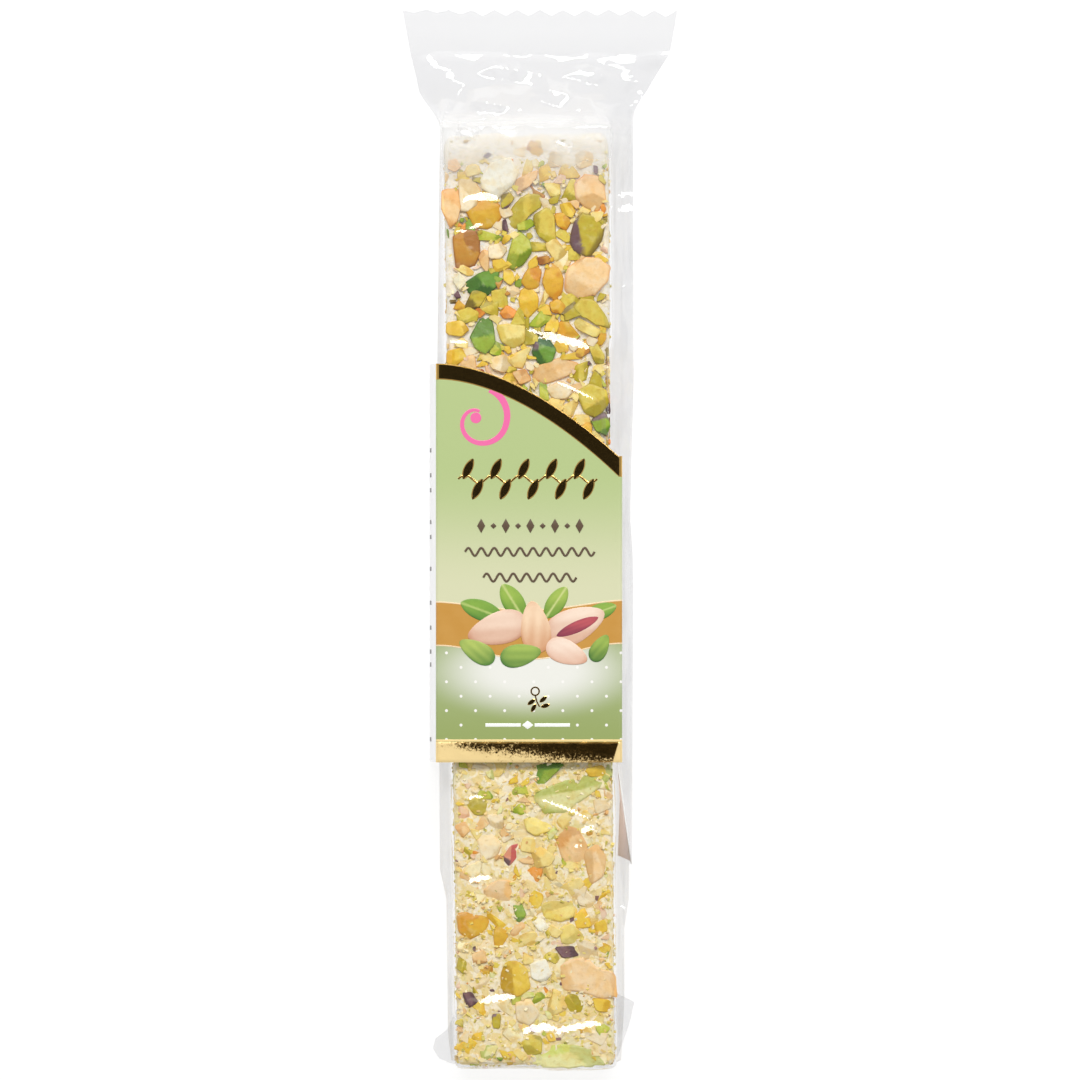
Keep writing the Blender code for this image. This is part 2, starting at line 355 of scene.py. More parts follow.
def nougat_finish():
    """Soft white nougat with crumbs too fine to model, yellower towards the near end."""
    made = Finish("soft_nougat")
    _, y, _ = made.axes()
    fine = made.noise(1.1 * MM, 3.0)
    grains = made.noise(0.5 * MM, 1.0)
    tint = made.noise(3.5 * MM, 2.0)
    near_end = 1 - y.clamped(-20 * MM, 30 * MM)
    cream = made.blend(tint.clamped(0.35, 0.7), linear(250, 244, 232), linear(247, 234, 208))
    chunks = made.noise(1.9 * MM, 1.0, distortion=0.8)
    chopped = made.blend(chunks.clamped(0.44, 0.56), linear(254, 240, 206), linear(246, 218, 138))
    chopped = made.blend((1 - tint).clamped(0.56, 0.66) * 0.5, chopped, linear(218, 206, 104))
    yellowed = made.blend(near_end * 0.8, cream, chopped)
    speckled = made.blend(grains.clamped(0.56, 0.66) * 0.4, yellowed, linear(226, 206, 116))
    made.set(
        Base_Color=made.blend((1 - fine).clamped(0.55, 0.75) * 0.3, speckled, linear(222, 196, 160)),
        Roughness=0.5,
        Subsurface_Weight=0.12,
        Subsurface_Radius=(1.0, 0.8, 0.55),
        Subsurface_Scale=1.2 * MM,
        Normal=made.bump(fine + grains * 0.4, 0.25 * MM, 0.7),
    )
    return made.material


def nut_finish(name, grain, depth, gloss):
    """Cut nut: the colour of each piece is on its mesh, and the grain is added here."""
    made = Finish(name)
    shade = made.field("shade", "Color")
    blotch = made.noise(1.6 * MM, 2.0)
    streak = made.noise(grain, 3.0, 0.6)
    warmer = made.blend(blotch.clamped(0.4, 0.68) * 0.5, shade, (1.0, 0.84, 0.5), "MULTIPLY")
    paler = made.blend((1 - blotch).clamped(0.56, 0.72) * 0.12, warmer, linear(252, 242, 206))
    made.set(
        Base_Color=made.blend(streak.clamped(0.48, 0.74) * 0.42, paler, (0.78, 0.66, 0.46), "MULTIPLY"),
        Roughness=gloss + streak * 0.2,
        Subsurface_Weight=0.08,
        Subsurface_Radius=(1.0, 0.75, 0.4),
        Subsurface_Scale=0.9 * MM,
        Normal=made.bump(streak, depth, 0.6),
    )
    return made.material


def crumb_finish():
    """Fine nut crumbs in the colours of all three nuts."""
    made = Finish("nut_crumbs")
    tone = made.field("tone")
    stops = [
        (0.0, linear(248, 236, 196)), (0.2, linear(242, 220, 158)), (0.38, linear(238, 220, 124)),
        (0.56, linear(230, 208, 100)), (0.7, linear(238, 206, 134)), (0.83, linear(212, 198, 92)),
        (0.92, linear(230, 178, 108)), (0.965, linear(176, 172, 80)), (0.99, linear(150, 108, 100)),
    ]
    colour = made.ramp(tone, stops, "CONSTANT")
    grain = made.noise(0.6 * MM, 2.0)
    made.set(
        Base_Color=made.blend(grain.clamped(0.45, 0.7) * 0.25, colour, (0.85, 0.75, 0.55), "MULTIPLY"),
        Roughness=0.45,
        Normal=made.bump(grain, 0.1 * MM, 0.5),
    )
    return made.material


def film_finish():
    """Clear glossy film, white or grey in places by the haze and painted sheen on its mesh."""
    made = Finish("clear_film")
    tree = made.tree
    tree.nodes.remove(made.shader)
    clear = made.node("ShaderNodeBsdfTransparent", inputs={"Color": (0.968, 0.968, 0.972)})
    gloss = made.node("ShaderNodeBsdfGlossy", inputs={"Color": (1.0, 1.0, 1.0), "Roughness": 0.07})
    # White for the film's slight haze all over, and for the painted sheen over the bar's far end that
    # stands in for the lamp's broad reflection.
    haze_and_sheen_white = made.node("ShaderNodeBsdfDiffuse", inputs={"Color": linear(238, 238, 237)})
    grey = made.node("ShaderNodeBsdfDiffuse", inputs={"Color": linear(150, 150, 156)})
    with_haze_and_sheen = made.node("ShaderNodeMixShader", inputs={0: made.field("veil"), 1: clear, 2: haze_and_sheen_white})
    dulled = made.node("ShaderNodeMixShader", inputs={0: made.field("dull"), 1: with_haze_and_sheen, 2: grey})
    facing = made.node("ShaderNodeLayerWeight", inputs={"Blend": 0.5}, output=1)
    shine = 0.065 + facing**5 * 0.9
    surface = made.node("ShaderNodeMixShader", inputs={0: shine, 1: dulled, 2: gloss})
    tree.links.new(surface.socket, tree.nodes["Material Output"].inputs["Surface"])
    return made.material


def pleat_finish():
    """A fold of film whose colour is a painted reflection of the side of the bar."""
    made = Finish("film_pleat")
    tint = made.noise(6 * MM, 1.0)
    # Pinkish beige: a painted reflection of the bar's side in the fold.
    made.set(
        Base_Color=made.blend(tint, linear(252, 226, 218), linear(252, 238, 232)),
        Roughness=0.3,
        Alpha=0.85,
    )
    return made.material


def card_front_finish():
    """Coated card printed green: paler downwards, then a dotted deeper green with a pale glow."""
    made = Finish("printed_front")
    x, y, _ = made.axes()
    upper = made.blend(1 - y.clamped(-11 * MM, 14 * MM), ink(183, 203, 141), ink(219, 223, 185))
    across, along = (x - GLOW_X) / GLOW_WIDTH, (y - GLOW_Y) / GLOW_HEIGHT
    squared = across * across + along * along
    away = squared.math("SQRT", squared)
    deep_green = made.blend(y.clamped(-38 * MM, -24 * MM), ink(155, 173, 105), ink(166, 184, 128))
    lower = made.blend(away.clamped(0.3, 1.1), ink(240, 243, 236), deep_green)
    dots = spots(x, y, DOT_X, DOT_Y) + spots(x, y, DOT_X + DOT_PITCH / 2, DOT_Y - DOT_ROW_PITCH)
    dotted = made.blend(dots.math("MINIMUM", dots, 1.0), lower, ink(252, 253, 249))
    on_upper = y.clamped(DOTTED_BELOW - 0.2 * MM, DOTTED_BELOW + 0.2 * MM)
    paper = made.noise(0.35 * MM, 2.0)
    made.set(
        Base_Color=made.blend(on_upper, dotted, upper),
        Roughness=0.32 + paper * 0.1,
        Coat_Weight=0.2,
        Coat_Roughness=0.15,
        Normal=made.bump(paper, 0.01 * MM, 0.25),
    )
    return made.material


def spots(x, y, first_x, first_y):
    """1 inside round dots on a plain grid, two rows of the staggered pattern apart."""
    along = x - (first_x - DOT_PITCH / 2)
    up = y - (first_y - DOT_ROW_PITCH)
    u = along.math("FLOORED_MODULO", along, DOT_PITCH) - DOT_PITCH / 2
    v = up.math("FLOORED_MODULO", up, 2 * DOT_ROW_PITCH) - DOT_ROW_PITCH
    squared = u * u + v * v
    return 1 - squared.math("SQRT", squared).clamped(DOT_RADIUS - DOT_BLUR, DOT_RADIUS + DOT_BLUR)


def white_card_finish():
    """The unprinted sides, back, inside and cut edges of the card."""
    made = Finish("white_card")
    fibre = made.noise(0.5 * MM, 4.0)
    fibres = fibre.clamped(0.4, 0.7)
    made.set(
        Base_Color=made.blend(fibres * 0.4, linear(254, 254, 254), linear(248, 246, 244)),
        Roughness=0.5 + fibre * 0.15,
        Normal=made.bump(fibre, 0.015 * MM, 0.35),
    )
    return made.material


def foil_finish():
    """Hot stamped foil, smooth and golden."""
    made = Finish("gold_foil")
    slow = made.noise(6 * MM, 2.0)
    fine = made.noise(0.6 * MM, 3.0)
    made.set(
        Base_Color=made.blend(slow * 0.5, linear(216, 172, 92), linear(246, 208, 130)),
        Metallic=1.0,
        Roughness=0.08 + fine * 0.08,
        Normal=made.bump(fine, 0.004 * MM, 1.0),
    )
    return made.material


def worn_and_sheen_foil_finish():
    """Foil along the near edge: dulled and crazed to the left, smooth to the right, with a painted pale
    sheen to the left, along the near edge and on its right corner.
    """
    made = Finish("worn_and_sheen_gold_foil")
    x, y, _ = made.axes()
    crazing = made.noise(0.42 * MM, 4.0, 0.75)
    blotch = made.noise(1.7 * MM, 2.0)
    # Worn mixes crazed, dulled foil with a painted sheen: the pale, less metallic colour to the left and
    # along the near edge stands in for the foil's bright reflection there.
    rightward = x.clamped(-19 * MM, -11 * MM) * 0.2 + x.clamped(-12 * MM, 13 * MM) * 0.25
    upward = y.clamped(-41.5 * MM, -38 * MM) * 0.28
    worn = 1 - (rightward + upward + crazing * 0.9 + blotch * 0.25).clamped(0.86, 1.08)
    # Painted highlight on the strip's right corner.
    corner = (x - y * 0.3).clamped(25.9 * MM, 26.2 * MM)
    worn = worn.math("MAXIMUM", worn, corner)
    made.set(
        Base_Color=made.blend(worn, linear(206, 160, 84), linear(252, 224, 160)),
        Metallic=1.0 - worn * 0.45,
        Roughness=0.1 + worn * 0.4,
        Normal=made.bump(crazing, 0.03 * MM, 0.8),
    )
    return made.material


def ink_finish(name, colour, other):
    """Flat printing ink with the slight unevenness of a screened colour."""
    made = Finish(name)
    spread = made.noise(2.5 * MM, 3.0)
    made.set(Base_Color=made.blend(spread * 0.6, colour, other), Roughness=0.35 + spread * 0.08)
    return made.material


def picture_finish():
    """Printed picture: its painted colours are on the mesh."""
    made = Finish("printed_picture")
    screen = made.noise(0.8 * MM, 3.0)
    colour = made.field("shade", "Color")
    made.set(
        Base_Color=made.blend(screen.clamped(0.4, 0.7) * 0.2, colour, (0.9, 0.86, 0.78), "MULTIPLY"),
        Roughness=0.35,
    )
    return made.material


# Making meshes


def mesh_piece(name, corners, faces, finishes, colours=None, fields=None, wears=None):
    """A piece from corners and faces, closed and facing out, riding on the bar."""
    mesh = bpy.data.meshes.new(name)
    mesh.from_pydata([tuple(corner) for corner in corners], [], faces)
    if wears is not None:
        mesh.polygons.foreach_set("material_index", np.array(wears, np.int32))
    if colours is not None:
        layer = mesh.attributes.new("shade", "FLOAT_COLOR", "POINT")
        rgba = np.ones((len(corners), 4), np.float32)
        rgba[:, :3] = colours
        layer.data.foreach_set("color", rgba.ravel())
    for field, values in (fields or {}).items():
        layer = mesh.attributes.new(field, "FLOAT", "POINT")
        layer.data.foreach_set("value", np.asarray(values, np.float32))
    made = bmesh.new()
    made.from_mesh(mesh)
    bmesh.ops.recalc_face_normals(made, faces=made.faces)
    made.to_mesh(mesh)
    made.free()
    mesh.shade_smooth()
    for finish in finishes:
        mesh.materials.append(finish)
    piece = bpy.data.objects.new(name, mesh)
    bpy.context.scene.collection.objects.link(piece)
    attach(piece, "root")
    return piece


def skin_faces(rows, columns):
    """The faces of a closed tube of rows of corners, with a fan at each end."""
    faces = []
    for row in range(rows - 1):
        for i in range(columns):
            here, beside = row * columns + i, row * columns + (i + 1) % columns
            faces.append((here, beside, beside + columns, here + columns))
    first, last = rows * columns, rows * columns + 1
    end = (rows - 1) * columns
    for i in range(columns):
        beside = (i + 1) % columns
        faces.append((first, beside, i))
        faces.append((last, end + i, end + beside))
    return faces


def end_rows(ring, steps, depth, seed):
    """Rows of corners that close an end: the ring drawn in to its middle, a little crumpled."""
    middle = ring.mean(axis=0)
    rows = []
    for step in range(1, steps):
        share = 1 - step / steps
        row = middle + (ring - middle) * share
        row[:, 1] += depth * (crumple(row[:, 0], row[:, 2], 4 * MM, seed) - 0.5) * min(1.0, step / 2)
        rows.append(row)
    return rows, middle


# The film


def segment(start, end, steps):
    """Points from start up to but without end."""
    shares = np.linspace(0, 1, steps, endpoint=False)[:, None]
    return np.array(start) + (np.array(end) - np.array(start)) * shares


def bend(centre, radius, start, end, steps):
    """Points round a corner, from the turn start up to but without end, in degrees."""
    turns = np.radians(np.linspace(start, end, steps, endpoint=False))
    return np.stack([centre[0] + radius * np.cos(turns), centre[1] + radius * np.sin(turns)], 1)


# How closely the film's corners lie, round the bar and along it
TOP_COLUMNS = 76
UNDER_COLUMNS = 26
FIRST_ROW = 1.2 * MM
ROW_PITCH = 0.3 * MM
HIDDEN_ROW_PITCH = 1.6 * MM
SHOULDER_ROWS = 60
SEAL_ROWS = 14


def film_ring(y):
    """(x, z) round the film at y, from the left fold's edge over the top and back under the bar."""
    left, right = middle_x(y) - half_width(y), middle_x(y) + half_width(y)
    low, high, radius = FILM_BOTTOM + CORNER_RADIUS, FILM_TOP - CORNER_RADIUS, CORNER_RADIUS
    left_edge, right_edge = fold_edge(y, LEFT_FOLD), fold_edge(y, RIGHT_FOLD)
    over = [
        segment((left_edge, FOLD_HEIGHT + FOLD_EDGE), (left, FOLD_HEIGHT + FOLD_ROOT), 4),
        segment((left, FOLD_HEIGHT + FOLD_ROOT), (left, high), 6),
        bend((left + radius, high), radius, 180, 90, 5),
        segment((left + radius, FILM_TOP), (right - radius, FILM_TOP), TOP_COLUMNS),
        bend((right - radius, high), radius, 90, 0, 5),
        segment((right, high), (right, FOLD_HEIGHT + FOLD_ROOT), 6),
        segment((right, FOLD_HEIGHT + FOLD_ROOT), (right_edge, FOLD_HEIGHT + FOLD_EDGE), 13),
    ]
    under = [
        segment((right_edge, FOLD_HEIGHT - FOLD_EDGE), (right, FOLD_HEIGHT - FOLD_ROOT), 7),
        segment((right, FOLD_HEIGHT - FOLD_ROOT), (right, low), 2),
        bend((right - radius, low), radius, 0, -90, 4),
        segment((right - radius, FILM_BOTTOM), (left + radius, FILM_BOTTOM), UNDER_COLUMNS),
        bend((left + radius, low), radius, -90, -180, 4),
        segment((left, low), (left, FOLD_HEIGHT - FOLD_ROOT), 2),
        segment((left, FOLD_HEIGHT - FOLD_ROOT), (left_edge, FOLD_HEIGHT - FOLD_EDGE), 4),
    ]
    return np.vstack(over), np.vstack(under)


def flat_ring(over, under, half, z, parting):
    """The same ring pressed flat, with its points as far along the sheet as they were."""
    rows = []
    for points, start, end, height in (
        (over, -half, half, z + parting / 2),
        (under, half, -half, z - parting / 2),
    ):
        steps = np.hypot(*np.diff(points, axis=0).T)
        along = np.concatenate([[0], np.cumsum(steps)]) / steps.sum()
        rows.append(np.stack([mix(start, end, along), np.full(len(points), height)], 1))
    return np.vstack(rows)


# Creases that catch the light: start and end in the photo, and the width of a flank in millimetres
CREASES = [
    ((461, 203), (500, 201), 1.6), ((453, 235), (468, 233), 0.9), ((466, 233), (484, 226), 0.9),
    ((524, 331), (556, 341), 0.9), ((536, 338), (592, 352), 1.8), ((444, 345), (469, 344), 0.9),
    ((554, 382), (599, 404), 0.8), ((541, 800), (597, 823), 0.8), ((466, 800), (485, 797), 0.9),
    ((578, 836), (595, 828), 1.3), ((572, 849), (581, 846), 0.9), ((466, 884), (492, 878), 1.2),
    ((445, 906), (460, 909), 1.1), ((462, 911), (479, 903), 0.4), ((476, 1005), (517, 997), 1.5),
    ((519, 1034), (556, 1029), 1.7), ((545, 1036), (603, 1024), 1.4), ((582, 1067), (612, 1064), 0.9),
    ((460, 134), (474, 139), 1.0), ((555, 143), (567, 149), 0.7), ((616, 198), (636, 195), 1.3),
    ((616, 213), (636, 209), 1.5), ((612, 405), (622, 396), 1.0), ((617, 290), (634, 282), 0.6),
    ((617, 905), (630, 915), 0.6), ((440, 330), (448, 338), 0.7), ((530, 392), (548, 397), 0.4),
]


# The slope that throws the lamp's light up to the camera at the frame's middle, and its fall a metre
LIT_SLOPE = 0.368
LIT_SLOPE_CHANGE = 0.59


def creases(x, y):
    """The height of the film's creases over its lie, and how calm the film is beside them."""
    height, calm = np.zeros_like(x), np.zeros_like(x)
    for start, end, width in CREASES:
        (ax, ay), (bx, by) = from_photo([start, end])
        length = math.hypot(bx - ax, by - ay)
        along = ((x - ax) * (bx - ax) + (y - ay) * (by - ay)) / length**2
        across = np.abs((x - ax) * (by - ay) - (y - ay) * (bx - ax)) / length
        reach = width * MM * np.sqrt(np.clip(1 - np.abs(2 * along - 1) ** 3, 0, 1)) + 1e-9
        lit = LIT_SLOPE - LIT_SLOPE_CHANGE * (ay + by) / 2
        slope = lit * length / max(abs(bx - ax), 0.5 * length)
        height = np.maximum(height, slope * np.clip(reach - across, 0, None))
        beyond = (along > 1.2) | (along < -0.2)
        calm = np.maximum(calm, 1 - smooth(across / (width * MM), 1.2, 2.2) - beyond)
    return height, calm


def lie_of_film(x, y):
    """How far the film over the bar lies below its highest level, and its creases above that."""
    raised, calm = creases(x, y)
    hugging = 0.1 * MM * swell(x, y, 8 * MM, 3) + 0.1 * MM * crumple(x, y, 6 * MM, 5)
    hugging += 0.7 * MM * smooth(y, 73 * MM, 78.5 * MM)
    shoulder = smooth(y, 66 * MM, 77 * MM)
    loose = 0.5 * MM * (crumple(x, y, 6.5 * MM, 11) - 0.35) * shoulder
    return raised * (1 - under_card(x, y)) + mix(loose - hugging, -0.1 * MM, calm)


def film_row(y):
    """One row of the film round the bar, with its folds, dips and creases."""
    over, under = film_ring(y)
    ring = np.vstack([over, under])
    x, z = ring[:, 0].copy(), ring[:, 1].copy()
    flat = smooth(z, FILM_TOP - CORNER_RADIUS, FILM_TOP)
    flat[len(over):] = 0
    along = np.full(len(x), y)
    z += lie_of_film(x, along) * flat
    out = np.sign(x - middle_x(y))
    side = 1 - smooth(np.abs(z - mix(FOLD_HEIGHT, FILM_TOP, 0.5)), 3 * MM, 5.5 * MM)
    side *= np.abs(x - middle_x(y)) > half_width(y) - CORNER_RADIUS
    x += out * side * SIDE_DENT * (crumple(z, along, 5 * MM, 21) - 0.6) * (1 - in_sleeve(y))
    flap = smooth(np.abs(x - middle_x(y)), half_width(y) + 0.1 * MM, half_width(y) + 1.2 * MM)
    folds = FOLD_WAVE * (crumple(x * 1.6, along * 0.22, 3 * MM, 31) - 0.5)
    folds += FOLD_CRUMPLE * (crumple(x, along, 5 * MM, 33) - 0.5) + creases(x, along)[0]
    z += flap * folds * (1 - in_sleeve(y))
    return np.stack([x, along, z], 1)


def shoulder_row(share):
    """One row between the bar's far end (share 0) and the seal (share 1)."""
    over, under = film_ring(BAR_FAR_END)
    ring = film_row(BAR_FAR_END)
    widening = (max(0.0, share - WAIST_AT) / (1 - WAIST_AT)) ** WAIST_SHARPNESS
    half = mix(WAIST_HALF_WIDTH, SEAL_HALF_WIDTH_AT_ROOT, widening)
    flat = flat_ring(over, under, half, SEAL_HEIGHT, mix(SHOULDER_PARTING, SEAL_PARTING, share))
    sideways = smooth(share, 0.0, 0.55)
    y = mix(BAR_FAR_END, SEAL_ROOT, share)
    x = mix(ring[:, 0], flat[:, 0] + middle_x(BAR_FAR_END) * (1 - share), sideways)
    dropped = share + 0.14 * (1 - share) * smooth(share, 0.0, 0.22)
    z = mix(ring[:, 2], flat[:, 1], dropped)
    rough = math.sin(math.pi * share) ** 0.6
    lift = np.where(np.arange(len(x)) < len(over), 1.0, -0.35)
    z += rough * lift * SHOULDER_FOLD * (crumple(x, y * 1.15, 4.3 * MM, 44) - 0.5)
    z += rough * lift * SHOULDER_CREASE * (crumple(x, y, 2.6 * MM, 47) - 0.5)
    along = y + rough * 0.6 * MM * (swell(x, z, 7 * MM, 51) - 0.5)
    return np.stack([x, along * np.ones_like(x), z], 1)


def seal_row(share):
    """One row of the flat seal. Its last row is the zigzag edge."""
    over, under = film_ring(BAR_FAR_END)
    half = mix(SEAL_HALF_WIDTH_AT_ROOT, SEAL_HALF_WIDTH, share)
    flat = flat_ring(over, under, half, SEAL_HEIGHT, SEAL_PARTING)
    rightward, leftward = np.linspace(-half, half, len(over)), np.linspace(half, -half, len(under))
    x = mix(flat[:, 0], np.concatenate([rightward, leftward]), share)
    turn = (x + SEAL_HALF_WIDTH) / (2 * SEAL_HALF_WIDTH) * TOOTH_COUNT
    zigzag = np.abs(2 * (turn - np.floor(turn)) - 1)
    shallow_left = mix(0.55, 1.0, smooth(x, -20 * MM, -9 * MM))
    uneven = mix(0.9, 1.3, swell(x, 0 * x, 9 * MM, 61)) * shallow_left
    tip = SEAL_TIP - TOOTH_DEPTH * (1 - zigzag) * uneven - 0.2 * MM * swell(x, 0 * x, 7 * MM, 63)
    y = mix(SEAL_ROOT, tip, share)
    z = flat[:, 1] + SEAL_WAVE * (swell(x, y, 9 * MM, 65) - 0.5) * mix(1.0, 0.6, share)
    return np.stack([x, y, z], 1)


def near_end_rows():
    """Rows of the film that round the edge of the bar's near end, from the end inwards."""
    first = film_row(BAR_NEAR_END + FIRST_ROW)
    centre, rows = middle_x(BAR_NEAR_END), []
    for inset, y in ((1.3, 0.0), (0.55, 0.25), (0.15, 0.7)):
        row = first.copy()
        reach = half_width(BAR_NEAR_END) - inset * MM
        row[:, 0] = np.clip(row[:, 0], centre - reach, centre + reach)
        row[:, 2] = np.clip(row[:, 2], FILM_BOTTOM + inset * MM, FILM_TOP - inset * MM)
        row[:, 1] = BAR_NEAR_END + y * MM
        rows.append(row)
    return rows


def seal_edge_faces(end, columns, over):
    """Faces along the zigzag edge, between the upper corners and the fewer lower ones."""
    def across(step):
        return end + min(columns - 1, over + round(step * (columns - over - 1) / (over - 1)))

    faces = []
    for i in range(over - 1):
        a, c = end + i, end + i + 1
        b, d = across(over - 1 - i), across(over - 2 - i)
        faces.append((a, c, d, b) if b != d else (a, c, b))
    return faces


def haze(corners):
    """Where the film looks white, by a slight haze all over and a painted sheen over the bar's far end,
    and where grey, in its loose folds.
    """
    x, y = corners[:, 0], corners[:, 1]
    wander = y + 3 * MM * (swell(x, y, 5 * MM, 81) - 0.5)
    beside = smooth(np.abs(x - middle_x(y)), half_width(y) - 0.2 * MM, half_width(y) + 0.6 * MM)
    # Painted sheen: over the bar's far end, where the film stands off the bar, white stands in for the
    # lamp's broad reflection in it.
    painted_sheen_on_end = smooth(wander, 63 * MM, 75 * MM) * (1 - smooth(wander, 76 * MM, 80 * MM))
    fine = swell(x, y * 0.06, 0.45 * MM, 83)
    streaks = smooth(fine + 0.4 * swell(x, y * 0.2, 0.9 * MM, 85), 0.5, 1.0)
    dull = (0.066 + 0.05 * streaks) * beside * (1 - smooth(wander, 70 * MM, 80 * MM))
    dull = dull + 0.07 * smooth(wander, 69 * MM, 78 * MM)
    dull = dull * (1 - smooth(y, SEAL_ROOT - 2 * MM, SEAL_ROOT + MM))
    return {"veil": 0.4 * painted_sheen_on_end * (1 - 0.7 * beside) + 0.015, "dull": dull}


def film_piece(finish):
    """The whole film as one closed sheet, round the bar and flat in its far seal."""
    near_rows = near_end_rows()
    cap, cap_middle = end_rows(near_rows[0], 8, 0.9 * MM, 71)
    rows = [*reversed(cap), *near_rows]
    y = BAR_NEAR_END + FIRST_ROW
    while y < BAR_FAR_END:
        rows.append(film_row(y))
        hidden = SLEEVE_NEAR + 2 * MM < y < SLEEVE_FAR_RIGHT - 4 * MM
        y += HIDDEN_ROW_PITCH if hidden else ROW_PITCH
    rows += [shoulder_row(share) for share in np.linspace(0, 1, SHOULDER_ROWS)]
    rows += [seal_row(share) for share in np.linspace(0, 1, SEAL_ROWS)[1:]]
    columns = len(rows[0])
    corners = np.vstack([*rows, cap_middle[None]])
    fan_at_seal = len(corners)
    faces = [face for face in skin_faces(len(rows), columns) if fan_at_seal not in face]
    over = columns - len(film_ring(0.0)[1])
    faces += seal_edge_faces((len(rows) - 1) * columns, columns, over)
    piece = mesh_piece("film", corners, faces, [finish], fields=haze(corners))
    piece.data.set_sharp_from_angle(angle=math.radians(15))
    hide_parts("film_pack")


def tucked_seal_piece(finish):
    """The near seal, folded flat under the bar, with the corners that peek out."""
    places, lefts, rights = (np.array(side) * MM for side in zip(*TUCKED_SEAL))
    rows, columns = 40, 44
    along = np.linspace(places[0], places[-1], rows)
    left = np.interp(-along, -places, lefts)
    right = np.interp(-along, -places, rights)
    across = np.linspace(0, 1, columns)
    sheets = []
    for low, high, direction in ((0.12, 0.62, 1), (0.02, 0.08, -1)):
        x = mix(left[:, None], right[:, None], across[None, ::direction])
        y = np.repeat(along[:, None], columns, axis=1)
        z = mix(low, high, crumple(x, y, 4.5 * MM, 91)) * MM
        sheets.append(np.stack([x, y, z], 2))
    ring = np.concatenate(sheets, axis=1)
    corners = np.vstack([ring.reshape(-1, 3), ring[0].mean(axis=0), ring[-1].mean(axis=0)])
    faces = skin_faces(rows, 2 * columns)
    fields = {"veil": np.full(len(corners), 0.02), "dull": np.zeros(len(corners))}
    piece = mesh_piece("tucked_seal", corners, faces, [finish], fields=fields)
    piece.data.set_sharp_from_angle(angle=math.radians(70))


# The nougat and its nuts


def nougat_row(y, inset, ragged=0.0):
    """(x, y, z) round the bare bar, with a slightly lumpy skin."""
    half = half_width(y) - NOUGAT_INSET - inset
    low, high, radius = NOUGAT_BOTTOM + inset, NOUGAT_TOP - inset, 1.2 * MM
    high += 0.03 * MM - NOUGAT_DIP * smooth(y, 0, 20 * MM) * (1 - smooth(y, 66 * MM, 72 * MM))
    left, right = middle_x(y) - half, middle_x(y) + half
    ring = np.vstack([
        segment((left, low + radius), (left, high - radius), 14),
        bend((left + radius, high - radius), radius, 180, 90, 4),
        segment((left + radius, high), (right - radius, high), 36),
        bend((right - radius, high - radius), radius, 90, 0, 4),
        segment((right, high - radius), (right, low + radius), 14),
        bend((right - radius, low + radius), radius, 0, -90, 4),
        segment((right - radius, low), (left + radius, low), 30),
        bend((left + radius, low + radius), radius, -90, -180, 4),
    ])
    x, z = ring[:, 0], ring[:, 1]
    out = ring - np.array([middle_x(y), (low + high) / 2])
    out /= np.array([half, (high - low) / 2])
    lumps = 0.3 * MM * (swell(x + z, y + 0 * x, 1.7 * MM, 101) - 0.5)
    lumps += 0.14 * MM * (swell(x - z, y + 0 * x, 0.8 * MM, 103) - 0.5)
    strength = np.maximum(np.abs(out[:, 0]), np.abs(out[:, 1]))[:, None]
    ring = ring + out / strength * lumps[:, None]
    places = y - ragged * swell(x, z, 4 * MM, 105)
    return np.stack([ring[:, 0], places, ring[:, 1]], 1)


def nougat_piece(finish):
    """The bar of nougat, cut square at its near end and ragged at its far end."""
    start, end = BAR_NEAR_END + 0.75 * MM, BAR_FAR_END - 0.6 * MM
    near = [nougat_row(start, 0.8 * MM), nougat_row(start + 0.25 * MM, 0.3 * MM)]
    far = [
        nougat_row(end - back * MM, inset * MM, 1.6 * MM)
        for back, inset in ((2.0, 0.1), (1.2, 0.35), (0.6, 0.7), (0.2, 1.2), (0.0, 1.9))
    ]
    cap, near_middle = end_rows(near[0], 9, 0.5 * MM, 111)
    far_cap, far_middle = end_rows(far[-1], 9, 0.5 * MM, 113)
    rows = [*reversed(cap), *near]
    for y in np.arange(start + 0.7 * MM, end - 2.6 * MM, 0.72 * MM):
        rows.append(nougat_row(y, 0.0, 1.6 * MM * smooth(y, end - 9 * MM, end - 3 * MM)))
    rows += [*far, *far_cap]
    corners = np.vstack([*rows, near_middle[None], far_middle[None]])
    faces = skin_faces(len(rows), len(rows[0]))
    return mesh_piece("nougat", corners, faces, [finish])


class Side:
    """A face of the bar that pieces are pressed into: its middle, two directions on it, one out."""

    def __init__(self, middle, along_u, along_v):
        self.middle, self.u, self.v = np.array(middle), np.array(along_u), np.array(along_v)
        self.out = np.cross(self.u, self.v)

    def places(self, u, v, height):
        """Places in the frame, from places on the side and heights over it."""
        flat = self.middle + np.outer(u, self.u) + np.outer(v, self.v)
        return flat + np.outer(height, self.out)


TOP = Side((0, 0, 0), (1.0, 0, 0), (0, 1.0, 0))

